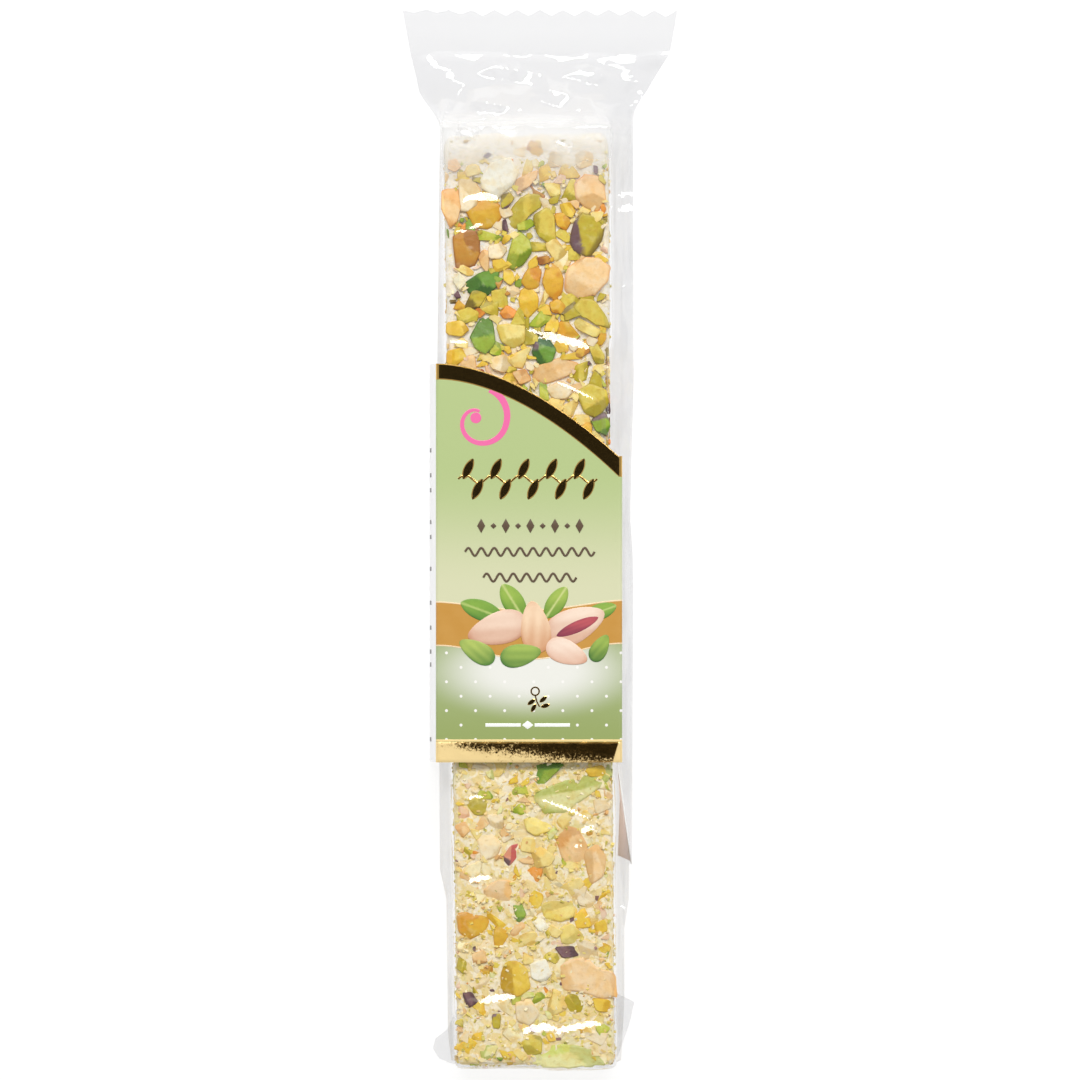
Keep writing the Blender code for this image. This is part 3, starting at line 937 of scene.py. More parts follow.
# Looks of a piece: the cut colour, the colour of its other faces, and its skin or rim
LOOKS = {
    "ivory": ((252, 238, 192), (246, 222, 160), (232, 196, 124)),
    "butter": ((248, 226, 146), (240, 208, 116), (224, 184, 84)),
    "blush": ((244, 212, 182), (236, 192, 158), (214, 154, 122)),
    "celery": ((238, 234, 168), (216, 220, 128), (170, 182, 78)),
    "cream": ((248, 232, 196), (243, 218, 166), (234, 190, 128)),
    "white": ((252, 248, 230), (246, 240, 212), (238, 224, 180)),
    "peach": ((247, 216, 168), (242, 202, 142), (230, 154, 84)),
    "tan": ((242, 204, 146), (234, 184, 118), (222, 150, 84)),
    "orange": ((238, 160, 58), (226, 138, 40), (196, 108, 32)),
    "amber": ((206, 150, 52), (178, 110, 40), (140, 82, 32)),
    "gold": ((230, 184, 48), (216, 156, 24), (188, 116, 14)),
    "yellow": ((242, 208, 72), (230, 188, 42), (212, 162, 30)),
    "pale": ((246, 228, 140), (238, 214, 104), (222, 190, 66)),
    "olive": ((198, 180, 44), (156, 136, 26), (108, 84, 42)),
    "moss": ((226, 206, 84), (200, 182, 48), (158, 138, 40)),
    "lime": ((202, 206, 74), (166, 184, 40), (108, 132, 34)),
    "green": ((152, 180, 54), (110, 148, 32), (72, 100, 28)),
    "deep": ((112, 160, 48), (70, 122, 30), (40, 72, 24)),
    "rose": ((232, 160, 134), (212, 120, 108), (146, 74, 88)),
    "skin": ((126, 92, 98), (100, 68, 76), (72, 46, 56)),
}
# Roasted kernels bulge a little and darken to their sides
ROUND_LOOKS = ("gold", "amber", "orange")
SKIN_COLOUR = np.array(linear(116, 88, 96))
# Mean radius from which a piece has all its rings and cuts, and from which it has its full depth
LARGE_PIECE = 1.5 * MM
FULL_DEPTH_PIECE = 2.2 * MM
# The rings of a piece from its edge to its middle, as shares of the edge. The first lies in the nougat
RING_SHARES = np.array([1.0, 1.0, 0.96, 0.89, 0.8, 0.69, 0.57, 0.44, 0.3, 0.15])
SMALL_RING_SHARES = np.array([1.0, 1.0, 0.9, 0.5])
RIM_DROP = 0.2
CORNER_CUT = 0.13


def rounded(corners, rounds):
    """The outline with its corners cut off a little, each round finer."""
    for _ in range(rounds):
        after = np.roll(corners, -1, axis=0)
        corners = np.stack([mix(corners, after, CORNER_CUT), mix(after, corners, CORNER_CUT)], 1)
        corners = corners.reshape(-1, 2)
    return corners


def split(corners, parts):
    """The outline with each of its sides split into equal parts."""
    after = np.roll(corners, -1, axis=0)
    points = [mix(corners, after, part / parts) for part in range(parts)]
    return np.stack(points, 1).reshape(-1, 2)


class Heap:
    """All pieces of one kind of nut, which become one mesh."""

    def __init__(self):
        self.corners, self.faces, self.colours, self.count = [], [], [], 0

    def press(self, side, outline, look, top, rng, skins=()):
        """Adds one chopped piece, pressed into a side of the bar up to top, with flat cuts on it and
        painted shade low on its walls.
        """
        following = np.roll(outline, -1, axis=0)
        turning = outline[:, 0] * following[:, 1] - following[:, 0] * outline[:, 1]
        if turning.sum() < 0:
            outline = outline[::-1]
        size = np.hypot(*(outline - outline.mean(axis=0)).T).mean()
        large = size > LARGE_PIECE
        edge = rounded(outline, 2 if len(outline) > 7 and large else 1)
        edge = edge + rng.normal(0, 0.025 * size, edge.shape)
        if large and len(edge) < 30:
            edge = split(edge, 3 if side is TOP else 2)
        shares = RING_SHARES if large else SMALL_RING_SHARES
        middle = edge.mean(axis=0)
        count = len(edge)
        points = middle + shares[:, None, None] * (edge - middle)
        points = np.vstack([points.reshape(-1, 2), middle[None]])
        share = np.append(np.repeat(shares, count), 0.0)
        depth = min(1.0, size / FULL_DEPTH_PIECE) * MM
        height, colour = self.cut((points - middle) / size, size, depth, look, large, skins, rng)
        soft = 0.5 if middle[1] < 0 else 1.0
        rim = np.array(linear(*LOOKS[look][2]))
        colour = mix(colour, rim[None], 0.5 * soft * smooth(share, 0.86, 1.0)[:, None])
        # Painted shade: the lowest ring, down in the nougat, is darker, so the walls darken where pieces
        # meet the nougat and each other; half as strong towards the near end.
        colour[:count] *= 1 - 0.25 * soft
        wobble = swell(points[:, 0], points[:, 1], 0.8 * MM, 7) - 0.5
        height = top + height + wobble * 0.12 * depth
        height -= RIM_DROP * depth * smooth(share, 0.93, 1.0)
        height[:count] = top - 1.7 * depth
        height = np.minimum(height, top + 0.1 * MM)
        self.corners.append(side.places(points[:, 0], points[:, 1], height))
        self.colours.append(np.clip(colour, 0, 1))
        self.close(count, len(shares))

    def cut(self, away, size, depth, look, large, skins, rng):
        """Height and colour of a piece's face, with flat cuts and skins falling away to its edge."""
        face, other, _ = (np.array(linear(*colour)) for colour in LOOKS[look])
        tone = rng.uniform(0.93, 1.05)
        height = away @ rng.normal(0, 0.05, 2) * size
        colour = np.repeat(face[None] * tone, len(away), axis=0)
        if look in ROUND_LOOKS:
            height -= 0.3 * depth * (away**2).sum(axis=1)
            colour = mix(colour, other[None], smooth((away**2).sum(axis=1), 0.3, 1.2)[:, None])
        cuts = []
        for _ in range(3 - len(skins) if large else 1):
            shade = mix(face, other, rng.uniform(0.3, 1.5)) * rng.uniform(0.76, 1.12)
            cuts.append((rng.uniform(0, 2 * math.pi), rng.uniform(-0.1, 0.8), shade))
        for toward in skins:
            cuts.append((math.atan2(toward[1], toward[0]), 0.5, SKIN_COLOUR))
        for turn, start, shade in cuts:
            toward = away @ np.array([math.cos(turn), math.sin(turn)])
            fall = -rng.uniform(0.4, 0.8) * (toward - start) * depth
            on_cut = smooth(height - fall, -0.01 * depth, 0.02 * depth)[:, None]
            colour = mix(colour, np.clip(shade, 0, 1), on_cut)
            height = np.minimum(height, fall)
        return height, colour

    def close(self, count, layers):
        """Adds the faces of the newest piece: its rings, its middle and its hidden foot."""
        start, hub = self.count, self.count + layers * count
        for layer in range(layers - 1):
            for i in range(count):
                a, b = start + layer * count + i, start + layer * count + (i + 1) % count
                self.faces.append((a, b, b + count, a + count))
        last = start + (layers - 1) * count
        for i in range(count):
            self.faces.append((last + i, last + (i + 1) % count, hub))
        self.faces.append(tuple(start + i for i in reversed(range(count))))
        self.count = hub + 1

    def piece(self, name, finish):
        """The whole heap as one piece."""
        colours = np.vstack(self.colours)
        piece = mesh_piece(name, np.vstack(self.corners), self.faces, [finish], colours)
        piece.data.set_sharp_from_angle(angle=math.radians(28))


# The largest pieces, where the photo shows them: kind, look, sides that keep their skin, corners
PLACED = [
    ("almond", "white", (), [
        (480, 179), (496, 156), (509, 158), (520, 174), (513, 186), (495, 201), (483, 190),
    ]),
    ("almond", "tan", (), [(441, 190), (458, 188), (461, 205), (458, 222), (449, 229), (442, 212)]),
    ("almond", "cream", (), [(459, 176), (474, 180), (482, 192), (478, 205), (468, 213), (459, 212)]),
    ("peanut", "gold", (), [
        (465, 212), (472, 203), (488, 200), (500, 204), (502, 220), (490, 230), (474, 229),
    ]),
    ("pistachio", "olive", ((0.6, -0.8),), [(501, 196), (510, 193), (515, 199), (507, 210), (501, 209)]),
    ("pistachio", "moss", ((0.5, -0.85),), [
        (519, 199), (530, 194), (544, 196), (542, 207), (530, 216), (518, 229), (507, 228), (508, 214),
    ]),
    ("pistachio", "moss", (), [(532, 216), (548, 207), (554, 214), (557, 241), (549, 245), (537, 236)]),
    ("pistachio", "lime", (), [(517, 224), (531, 219), (536, 224), (526, 232), (517, 231)]),
    ("almond", "pale", (), [(543, 184), (560, 183), (561, 197), (550, 198)]),
    ("pistachio", "olive", (), [(548, 200), (561, 193), (558, 204), (550, 205)]),
    ("peanut", "gold", (), [(554, 214), (565, 213), (572, 222), (566, 232), (557, 227)]),
    ("peanut", "yellow", (), [(559, 205), (570, 202), (576, 211), (573, 219), (563, 216)]),
    ("almond", "peach", (), [
        (574, 184), (585, 174), (598, 175), (605, 186), (606, 200), (599, 213), (587, 210), (575, 200),
    ]),
    ("pistachio", "olive", ((1.0, 0.1), (-1.0, -0.2)), [
        (569, 243), (573, 224), (582, 213), (597, 216), (607, 223), (601, 244), (589, 258), (576, 254),
    ]),
    ("peanut", "amber", (), [(452, 238), (462, 230), (480, 229), (481, 252), (474, 267), (456, 271)]),
    ("pistachio", "lime", (), [
        (513, 236), (520, 231), (530, 240), (533, 252), (524, 265), (511, 271), (506, 262),
    ]),
    ("almond", "cream", (), [(488, 247), (500, 243), (508, 250), (501, 260), (489, 259)]),
    ("pistachio", "deep", (), [(465, 282), (480, 273), (500, 269), (498, 285), (486, 298), (468, 294)]),
    ("almond", "white", (), [(452, 281), (459, 271), (466, 284), (460, 291)]),
    ("peanut", "gold", (), [
        (546, 266), (552, 262), (560, 268), (564, 282), (562, 296), (554, 302), (545, 294), (542, 280),
    ]),
    ("peanut", "gold", (), [(525, 272), (534, 261), (542, 270), (539, 289), (527, 291), (521, 283)]),
    ("peanut", "amber", (), [(535, 258), (549, 256), (551, 263), (540, 266)]),
    ("peanut", "yellow", (), [
        (521, 289), (530, 285), (539, 297), (538, 310), (527, 320), (520, 312), (518, 300),
    ]),
    ("peanut", "yellow", (), [(503, 270), (512, 271), (516, 281), (510, 286), (503, 280)]),
    ("almond", "peach", (), [
        (566, 268), (582, 258), (600, 258), (611, 267), (608, 282), (596, 295), (578, 300), (563, 291),
    ]),
    ("peanut", "orange", (), [(499, 313), (507, 305), (518, 312), (514, 319), (503, 319)]),
    ("peanut", "orange", (), [(470, 314), (478, 308), (487, 312), (480, 319)]),
    ("peanut", "gold", (), [(549, 303), (558, 299), (567, 306), (562, 315), (551, 313)]),
    ("pistachio", "moss", (), [
        (572, 308), (580, 299), (594, 300), (606, 316), (610, 330), (598, 326), (583, 318),
    ]),
    ("almond", "pale", (), [(569, 316), (582, 319), (603, 331), (596, 338), (577, 330)]),
    ("pistachio", "green", (), [
        (479, 320), (488, 312), (494, 325), (496, 345), (486, 355), (475, 350), (470, 336),
    ]),
    ("almond", "pale", (), [(496, 326), (510, 324), (526, 326), (525, 342), (514, 350), (500, 341)]),
    ("peanut", "yellow", (), [(446, 323), (462, 320), (470, 330), (462, 337), (446, 335)]),
    ("pistachio", "deep", ((-0.8, 0.6),), [
        (536, 334), (548, 338), (557, 350), (552, 363), (540, 367), (531, 355),
    ]),
    ("pistachio", "moss", (), [(588, 346), (597, 342), (605, 356), (604, 366), (594, 363)]),
    ("almond", "peach", (), [(534, 367), (560, 357), (581, 363), (571, 375), (545, 385), (532, 379)]),
    ("almond", "cream", (), [(545, 388), (562, 380), (574, 388), (568, 400), (552, 399)]),
    ("almond", "tan", (), [(511, 372), (525, 369), (533, 380), (520, 386)]),
    ("almond", "cream", (), [(490, 357), (506, 354), (514, 366), (503, 374), (490, 368)]),
    ("peanut", "yellow", (), [(446, 352), (462, 347), (468, 358), (456, 367), (446, 364)]),
    ("pistachio", "moss", (), [(575, 392), (590, 383), (607, 390), (609, 403), (598, 419), (584, 414)]),
    ("pistachio", "green", ((-0.3, 1.0),), [(590, 420), (605, 411), (611, 425), (607, 437), (595, 431)]),
    ("almond", "tan", (), [(448, 162), (456, 159), (462, 168), (455, 173), (448, 170)]),
    ("almond", "cream", (), [(541, 158), (553, 151), (565, 156), (564, 166), (548, 169)]),
    ("almond", "cream", (), [(570, 157), (583, 151), (594, 154), (596, 166), (578, 170)]),
    ("skin", "skin", (), [(483, 157), (488, 153), (492, 155), (487, 159)]),
    ("skin", "skin", (), [(593, 166), (598, 167), (598, 175), (594, 174)]),
    ("pistachio", "celery", (), [
        (534, 792), (547, 787), (567, 779), (586, 772), (609, 763), (612, 777), (597, 790), (580, 801),
        (569, 811), (546, 815), (537, 804),
    ]),
    ("pistachio", "green", (), [(530, 763), (565, 762), (554, 774), (542, 786), (534, 783)]),
    ("pistachio", "moss", (), [(464, 803), (478, 796), (492, 799), (492, 813), (475, 816)]),
    ("almond", "tan", (), [(454, 826), (465, 820), (471, 830), (462, 838)]),
    ("almond", "cream", (), [(475, 834), (488, 827), (501, 842), (498, 856), (482, 861)]),
    ("almond", "cream", (), [(486, 815), (503, 812), (505, 828), (492, 831)]),
    ("almond", "pale", (), [(523, 817), (558, 816), (551, 830), (536, 836), (526, 829)]),
    ("almond", "tan", (), [(552, 834), (567, 825), (580, 829), (589, 848), (584, 862), (565, 865)]),
    ("almond", "peach", (), [(583, 851), (596, 842), (607, 855), (603, 876), (590, 885)]),
    ("almond", "rose", ((-0.3, -0.9),), [(503, 858), (510, 845), (520, 842), (518, 856), (508, 867)]),
    ("almond", "peach", (), [(482, 890), (497, 879), (511, 879), (518, 897), (508, 905), (489, 903)]),
    ("pistachio", "pale", (), [(540, 903), (556, 899), (573, 901), (575, 915), (560, 922), (544, 918)]),
    ("peanut", "gold", (), [(456, 912), (480, 907), (493, 918), (486, 931), (468, 940), (458, 931)]),
    ("almond", "pale", (), [(558, 928), (571, 922), (586, 936), (578, 944), (562, 944)]),
    ("skin", "skin", (), [(553, 946), (580, 944), (580, 955), (562, 958)]),
    ("almond", "tan", (), [(471, 953), (485, 949), (488, 962), (474, 964)]),
    ("peanut", "yellow", (), [
        (490, 968), (500, 955), (515, 956), (529, 970), (531, 986), (520, 997), (503, 991),
    ]),
    ("almond", "peach", (), [
        (557, 968), (568, 959), (585, 957), (600, 968), (616, 972), (618, 996), (600, 998), (580, 990),
        (561, 990),
    ]),
    ("skin", "skin", (), [(462, 992), (472, 991), (479, 1001), (468, 1008)]),
    ("pistachio", "moss", (), [(560, 1000), (570, 993), (584, 995), (583, 1011), (570, 1014)]),
    ("peanut", "yellow", (), [(591, 996), (611, 999), (611, 1012), (596, 1011)]),
    ("pistachio", "olive", ((0.0, 1.0),), [(492, 1013), (501, 1012), (500, 1028), (493, 1027)]),
    ("pistachio", "moss", (), [(519, 1040), (530, 1032), (542, 1036), (542, 1053), (528, 1057)]),
    ("pistachio", "celery", ((0.0, 1.0),), [
        (531, 1062), (540, 1048), (548, 1041), (570, 1044), (597, 1047), (609, 1056), (607, 1064),
        (590, 1066), (560, 1066), (538, 1066),
    ]),
    ("almond", "cream", (), [(515, 1002), (530, 997), (541, 1012), (530, 1025), (516, 1020)]),
    ("almond", "white", (), [(530, 962), (545, 957), (553, 972), (545, 983), (531, 978)]),
    ("pistachio", "green", (), [(512, 905), (522, 901), (527, 915), (518, 923)]),
    ("almond", "white", (), [(529, 918), (540, 913), (550, 928), (540, 932)]),
]


def random_outline(middle, size, rng):
    """A lopsided polygon of five or six corners."""
    count = rng.integers(5, 7)
    even = np.arange(count) / count * 2 * math.pi
    turns = np.sort(rng.uniform(0, 2 * math.pi, count) * 0.35 + even)
    radii = size * rng.uniform(0.7, 1.2, count)
    long = rng.uniform(0.75, 1.35)
    spin = rng.uniform(0, math.pi)
    u, v = radii * np.cos(turns) * long, radii * np.sin(turns) / long
    cos, sin = math.cos(spin), math.sin(spin)
    return middle + np.stack([u * cos - v * sin, u * sin + v * cos], 1)


# What the small pieces are, above and below the sleeve: kind, look, how common
UPPER_MIX = [
    ("almond", "cream", 4), ("almond", "ivory", 2), ("almond", "blush", 1.5), ("almond", "butter", 6),
    ("almond", "tan", 1.5), ("peanut", "yellow", 6), ("peanut", "gold", 1.6), ("peanut", "orange", 0.7),
    ("peanut", "amber", 0.5), ("pistachio", "moss", 6), ("pistachio", "olive", 2.5),
    ("pistachio", "lime", 2), ("pistachio", "green", 0.8), ("skin", "skin", 0.8),
]
NEAR_MIX = [
    ("almond", "ivory", 7), ("almond", "butter", 7), ("almond", "cream", 5), ("almond", "blush", 2),
    ("almond", "tan", 3), ("peanut", "yellow", 4), ("peanut", "gold", 1.2), ("peanut", "orange", 0.9),
    ("pistachio", "celery", 2.5), ("pistachio", "moss", 2.5), ("pistachio", "lime", 0.8),
    ("pistachio", "green", 0.3), ("skin", "skin", 0.9),
]
# Beyond this place the bar's far end shows no small pieces
BARE_END = 73.5 * MM


def scatter(heaps, side, box, rng, largest, tries, level, spacing, taken=()):
    """Presses smaller pieces into what is left of a side, the largest first."""
    low_u, high_u, low_v, high_v = box
    pressed = np.zeros((len(taken) + tries, 3))
    pressed[:len(taken)] = np.array(taken).reshape(-1, 3)
    used = len(taken)
    for size in np.sort(rng.uniform(0.45, 1.0, tries))[::-1] ** 2 * largest:
        u, v = rng.uniform(low_u + size, high_u - size), rng.uniform(low_v + size, high_v - size)
        lengthwise = side.v[1] > 0.5
        hidden = lengthwise and SLEEVE_NEAR + 3 * MM < v < SLEEVE_FAR_RIGHT - 3 * MM
        if hidden or rng.uniform() < smooth(v, 0.9 * BARE_END, BARE_END):
            continue
        near = pressed[:used]
        if np.any(np.hypot(near[:, 0] - u, near[:, 1] - v) < spacing * (near[:, 2] + size)):
            continue
        pressed[used] = u, v, size
        used += 1
        kinds = UPPER_MIX if v > 0 else NEAR_MIX
        weights = np.array([weight for _, _, weight in kinds], float)
        kind, look, _ = kinds[rng.choice(len(kinds), p=weights / weights.sum())]
        outline = random_outline(np.array([u, v]), size * (0.6 if kind == "skin" else 1.0), rng)
        heaps[kind].press(side, outline, look, level - rng.uniform(0, 0.35) * MM, rng)


ROOM_ROUND_PLACED = 1.6


def nut_pieces(finishes):
    """Every nut piece large enough to see, one mesh for each kind."""
    rng = np.random.default_rng(19)
    heaps = {kind: Heap() for kind in ("almond", "peanut", "pistachio", "skin")}
    taken = []
    for kind, look, skins, corners in PLACED:
        outline = from_photo(corners)
        middle = outline.mean(axis=0)
        size = np.hypot(*(outline - middle).T).mean()
        taken.append((middle[0], middle[1], size * ROOM_ROUND_PLACED))
        heaps[kind].press(TOP, outline, look, NUT_TOP, rng, skins)
    near, far = BAR_NEAR_END + 1.0 * MM, BAR_FAR_END - 0.9 * MM
    half, deep = BAR_HALF_WIDTH - NOUGAT_INSET, (NOUGAT_TOP - NOUGAT_BOTTOM) / 2
    mid, middle_z = BAR_MIDDLE_X, (NOUGAT_TOP + NOUGAT_BOTTOM) / 2
    upper = (mid - half + 0.2 * MM, mid + half - 0.4 * MM, 0.0, far)
    lower = (mid - half + 0.9 * MM, mid + half + 0.3 * MM, near, 0.0)
    level = NUT_TOP - 0.06 * MM
    scatter(heaps, TOP, upper, rng, 2.5 * MM, 9000, level, spacing=0.5, taken=taken)
    scatter(heaps, TOP, lower, rng, 2.7 * MM, 12000, level, spacing=0.52, taken=taken)
    for sign in (-1, 1):
        lean = Vector((BAR_LEAN + sign * BAR_TAPER, 1.0, 0.0)).normalized()
        side = Side((mid + sign * (half + 0.12 * MM), 0, middle_z), (0, 0, -sign * 1.0), tuple(lean))
        scatter(heaps, side, (-deep, deep, near, far), rng, 2.6 * MM, 2600, 0.0, spacing=0.85)
    under = Side((mid, 0, NOUGAT_BOTTOM), (-1.0, 0, 0), (BAR_LEAN, 1.0, 0))
    scatter(heaps, under, (-half, half, near, far), rng, 2.6 * MM, 2600, 0.15 * MM, spacing=0.9)
    for y, sign in ((BAR_NEAR_END + 0.6 * MM, -1), (BAR_FAR_END - 2.1 * MM, 1)):
        end = Side((middle_x(y), y, middle_z), (-sign * 1.0, 0, 0), (0, 0, 1.0))
        scatter(heaps, end, (-half, half, -deep, deep), rng, 2.4 * MM, 700, 0.0, spacing=0.85)
    names = {"almond": "almonds", "peanut": "peanuts", "pistachio": "pistachios", "skin": "nut_skins"}
    for kind, heap in heaps.items():
        heap.piece(names[kind], finishes[kind])


def crumb_pieces(nougat, finish):
    """Fine crumbs all over the nougat, each its own colour, closest together near the near end."""
    tree = bpy.data.node_groups.new("crumbs_on_nougat", "GeometryNodeTree")
    given = {}
    for name, kind, default in (
        ("Bar", "NodeSocketGeometry", None),
        ("Crumbs per square metre", "NodeSocketFloat", 1000000.0),
        ("Smallest", "NodeSocketFloat", 0.18 * MM),
        ("Largest", "NodeSocketFloat", 0.6 * MM),
        ("Sunk", "NodeSocketFloat", 0.2 * MM),
        ("Seed", "NodeSocketInt", 4),
    ):
        socket = tree.interface.new_socket(name, in_out="INPUT", socket_type=kind)
        given[name] = (socket.identifier, default)
    tree.interface.new_socket("Crumbs", in_out="OUTPUT", socket_type="NodeSocketGeometry")

    def node(kind, inputs=None, output=0, **settings):
        made = tree.nodes.new(kind)
        for name, value in settings.items():
            setattr(made, name, value)
        for key, value in (inputs or {}).items():
            if isinstance(value, bpy.types.NodeSocket):
                tree.links.new(value, made.inputs[key])
            else:
                made.inputs[key].default_value = value
        return made.outputs[output]

    def random(low, high, seed, kind="FLOAT"):
        first = 0 if kind == "FLOAT_VECTOR" else 2
        inputs = {first: low, first + 1: high, "Seed": seed}
        return node("FunctionNodeRandomValue", inputs, 0 if first == 0 else 1, data_type=kind)

    def ranged(value, start, end, low, high):
        return node("ShaderNodeMapRange", {0: value, 1: start, 2: end, 3: low, 4: high})

    def times(a, b):
        return node("ShaderNodeMath", {0: a, 1: b}, operation="MULTIPLY")

    inlet = tree.nodes.new("NodeGroupInput").outputs
    place = tree.nodes.new("ShaderNodeSeparateXYZ").outputs
    tree.links.new(node("GeometryNodeInputPosition"), place[0].node.inputs[0])
    facing = tree.nodes.new("ShaderNodeSeparateXYZ").outputs
    tree.links.new(node("GeometryNodeInputNormal"), facing[0].node.inputs[0])
    near_share = times(
        ranged(place[1], 5 * MM, -30 * MM, 0.34, 1.0), ranged(place[1], 68 * MM, 73 * MM, 1.0, 0.04)
    )
    top_share = ranged(facing[2], 0.4, 0.8, 0.3, 1.0)
    in_card = times(
        ranged(place[1], SLEEVE_NEAR, SLEEVE_NEAR + 4 * MM, 0.0, 1.0),
        ranged(place[1], SLEEVE_FAR_RIGHT, SLEEVE_FAR_RIGHT - 4 * MM, 0.0, 1.0),
    )
    density = times(times(near_share, top_share), ranged(in_card, 0.0, 1.0, 1.0, 0.06))
    inputs = {
        "Mesh": inlet["Bar"],
        "Density": times(density, inlet["Crumbs per square metre"]),
        "Seed": inlet["Seed"],
    }
    points = node("GeometryNodeDistributePointsOnFaces", inputs)
    normal = points.node.outputs["Normal"]
    under = node("ShaderNodeMath", {0: 0.0, 1: inlet["Sunk"]}, operation="SUBTRACT")
    shift = node("ShaderNodeVectorMath", {0: normal, "Scale": under}, operation="SCALE")
    sunk = node("GeometryNodeSetPosition", {"Geometry": points, "Offset": shift})
    size = random(inlet["Smallest"], inlet["Largest"], 7)
    stretch = random((0.55, 0.55, 0.5), (1.5, 1.2, 0.9), 8, "FLOAT_VECTOR")
    inputs = {
        "Points": sunk,
        "Instance": node("GeometryNodeMeshCube", {"Size": (1.7, 1.4, 1.1)}),
        "Rotation": random((0.0, 0.0, 0.0), (6.28, 6.28, 6.28), 9, "FLOAT_VECTOR"),
        "Scale": node("ShaderNodeVectorMath", {0: stretch, "Scale": size}, operation="SCALE"),
    }
    laid = node("GeometryNodeInstanceOnPoints", inputs)
    inputs = {"Geometry": laid, "Name": "tone", "Value": random(0.0, 1.0, 10)}
    toned = node("GeometryNodeStoreNamedAttribute", inputs, data_type="FLOAT", domain="INSTANCE")
    real = node("GeometryNodeRealizeInstances", {"Geometry": toned})
    worn = node("GeometryNodeSetMaterial", {"Geometry": real, "Material": finish})
    tree.links.new(worn, tree.nodes.new("NodeGroupOutput").inputs["Crumbs"])
    return grown("crumbs", nougat.data, tree, given)


def grown(name, mesh, tree, sockets):
    """The plain mesh that a node tree makes from a mesh."""
    source = bpy.data.objects.new(name + "_source", mesh)
    bpy.context.scene.collection.objects.link(source)
    modifier = source.modifiers.new("grow", "NODES")
    modifier.node_group = tree
    for identifier, default in sockets.values():
        if default is not None:
            modifier[identifier] = default
    graph = bpy.context.evaluated_depsgraph_get()
    made = bpy.data.meshes.new_from_object(source.evaluated_get(graph))
    made.name = name
    bpy.data.objects.remove(source)
    piece = bpy.data.objects.new(name, made)
    bpy.context.scene.collection.objects.link(piece)
    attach(piece, "root")
    return piece


# The sleeve


def sleeve_far_end(x):
    """Where the sleeve's far edge lies at an x on its front."""
    left, right = SLEEVE_LEFT + SLEEVE_FOLD_RADIUS, SLEEVE_RIGHT - SLEEVE_FOLD_RADIUS
    across = np.clip((x - left) / (right - left), 0, 1)
    return mix(SLEEVE_FAR_LEFT, SLEEVE_FAR_RIGHT, across**CUT_CURVE_POWER)


def sleeve_strip(inset):
    """(x, z, share of the far edge's curve) along the bent card, from the edge over the gap."""
    radius = SLEEVE_FOLD_RADIUS - inset
    left, right = SLEEVE_LEFT + SLEEVE_FOLD_RADIUS, SLEEVE_RIGHT - SLEEVE_FOLD_RADIUS
    low, high = SLEEVE_FOLD_RADIUS, SLEEVE_TOP - SLEEVE_FOLD_RADIUS
    lean_at_gap = SLEEVE_LEAN * (high - SLEEVE_GAP_TOP) / (high - low)
    back_left = left - SLEEVE_LEAN
    parts = [
        (segment((right + radius - lean_at_gap, SLEEVE_GAP_TOP), (right + radius, high), 8), 1, 1),
        (bend((right, high), radius, 0, 90, 8), 1, 1),
        (segment((right, high + radius), (left, high + radius), 48), 1, 0),
        (bend((left, high), radius, 90, 180, 8), 0, 0),
        (segment((left - radius, high), (back_left - radius, low), 10), 0, 0),
        (bend((back_left, low), radius, 180, 270, 5), 0, 0),
        (segment((back_left, low - radius), (SLEEVE_BACK_RIGHT, low - radius), 48), 0, 1),
        (np.array([[SLEEVE_BACK_RIGHT, low - radius]]), 1, 1),
    ]
    rows = []
    for points, start, end in parts:
        share = np.linspace(start, end, len(points), endpoint=False)
        rows.append(np.column_stack([points, share]))
    return np.vstack(rows)


def sleeve_piece(front, white):
    """The bent card, printed on its front and white on its other faces."""
    outer, inner = sleeve_strip(0.0), sleeve_strip(CARD)
    count = len(outer)
    steps = 40
    rings = []
    for strip, order in ((outer, 1), (inner, -1)):
        far = mix(SLEEVE_FAR_LEFT, SLEEVE_FAR_RIGHT, strip[:, 2] ** CUT_CURVE_POWER)
        shares = np.linspace(0, 1, steps)[::order]
        for share in shares:
            y = mix(SLEEVE_NEAR, far, share)
            rings.append(np.stack([strip[:, 0], y, strip[:, 1]], 1))
    corners = np.vstack(rings)
    faces, wears = [], []
    rows = len(rings)
    on_front = outer[:, 1] > SLEEVE_TOP - SLEEVE_FOLD_RADIUS * 0.9
    for row in range(rows):
        there = (row + 1) % rows
        for i in range(count - 1):
            here, beyond = row * count + i, there * count + i
            faces.append((here, beyond, beyond + 1, here + 1))
            printed = row < steps - 1 and on_front[i] and on_front[i + 1]
            wears.append(0 if printed else 1)
    for i in (0, count - 1):
        for row in range(steps - 1):
            here, inside = row * count + i, (2 * steps - 1 - row) * count + i
            faces.append((here, here + count, inside - count, inside))
            wears.append(1)
    piece = mesh_piece("card_sleeve", corners, faces, [front, white], wears=wears)
    piece.data.set_sharp_from_angle(angle=math.radians(50))
    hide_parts("sleeve")


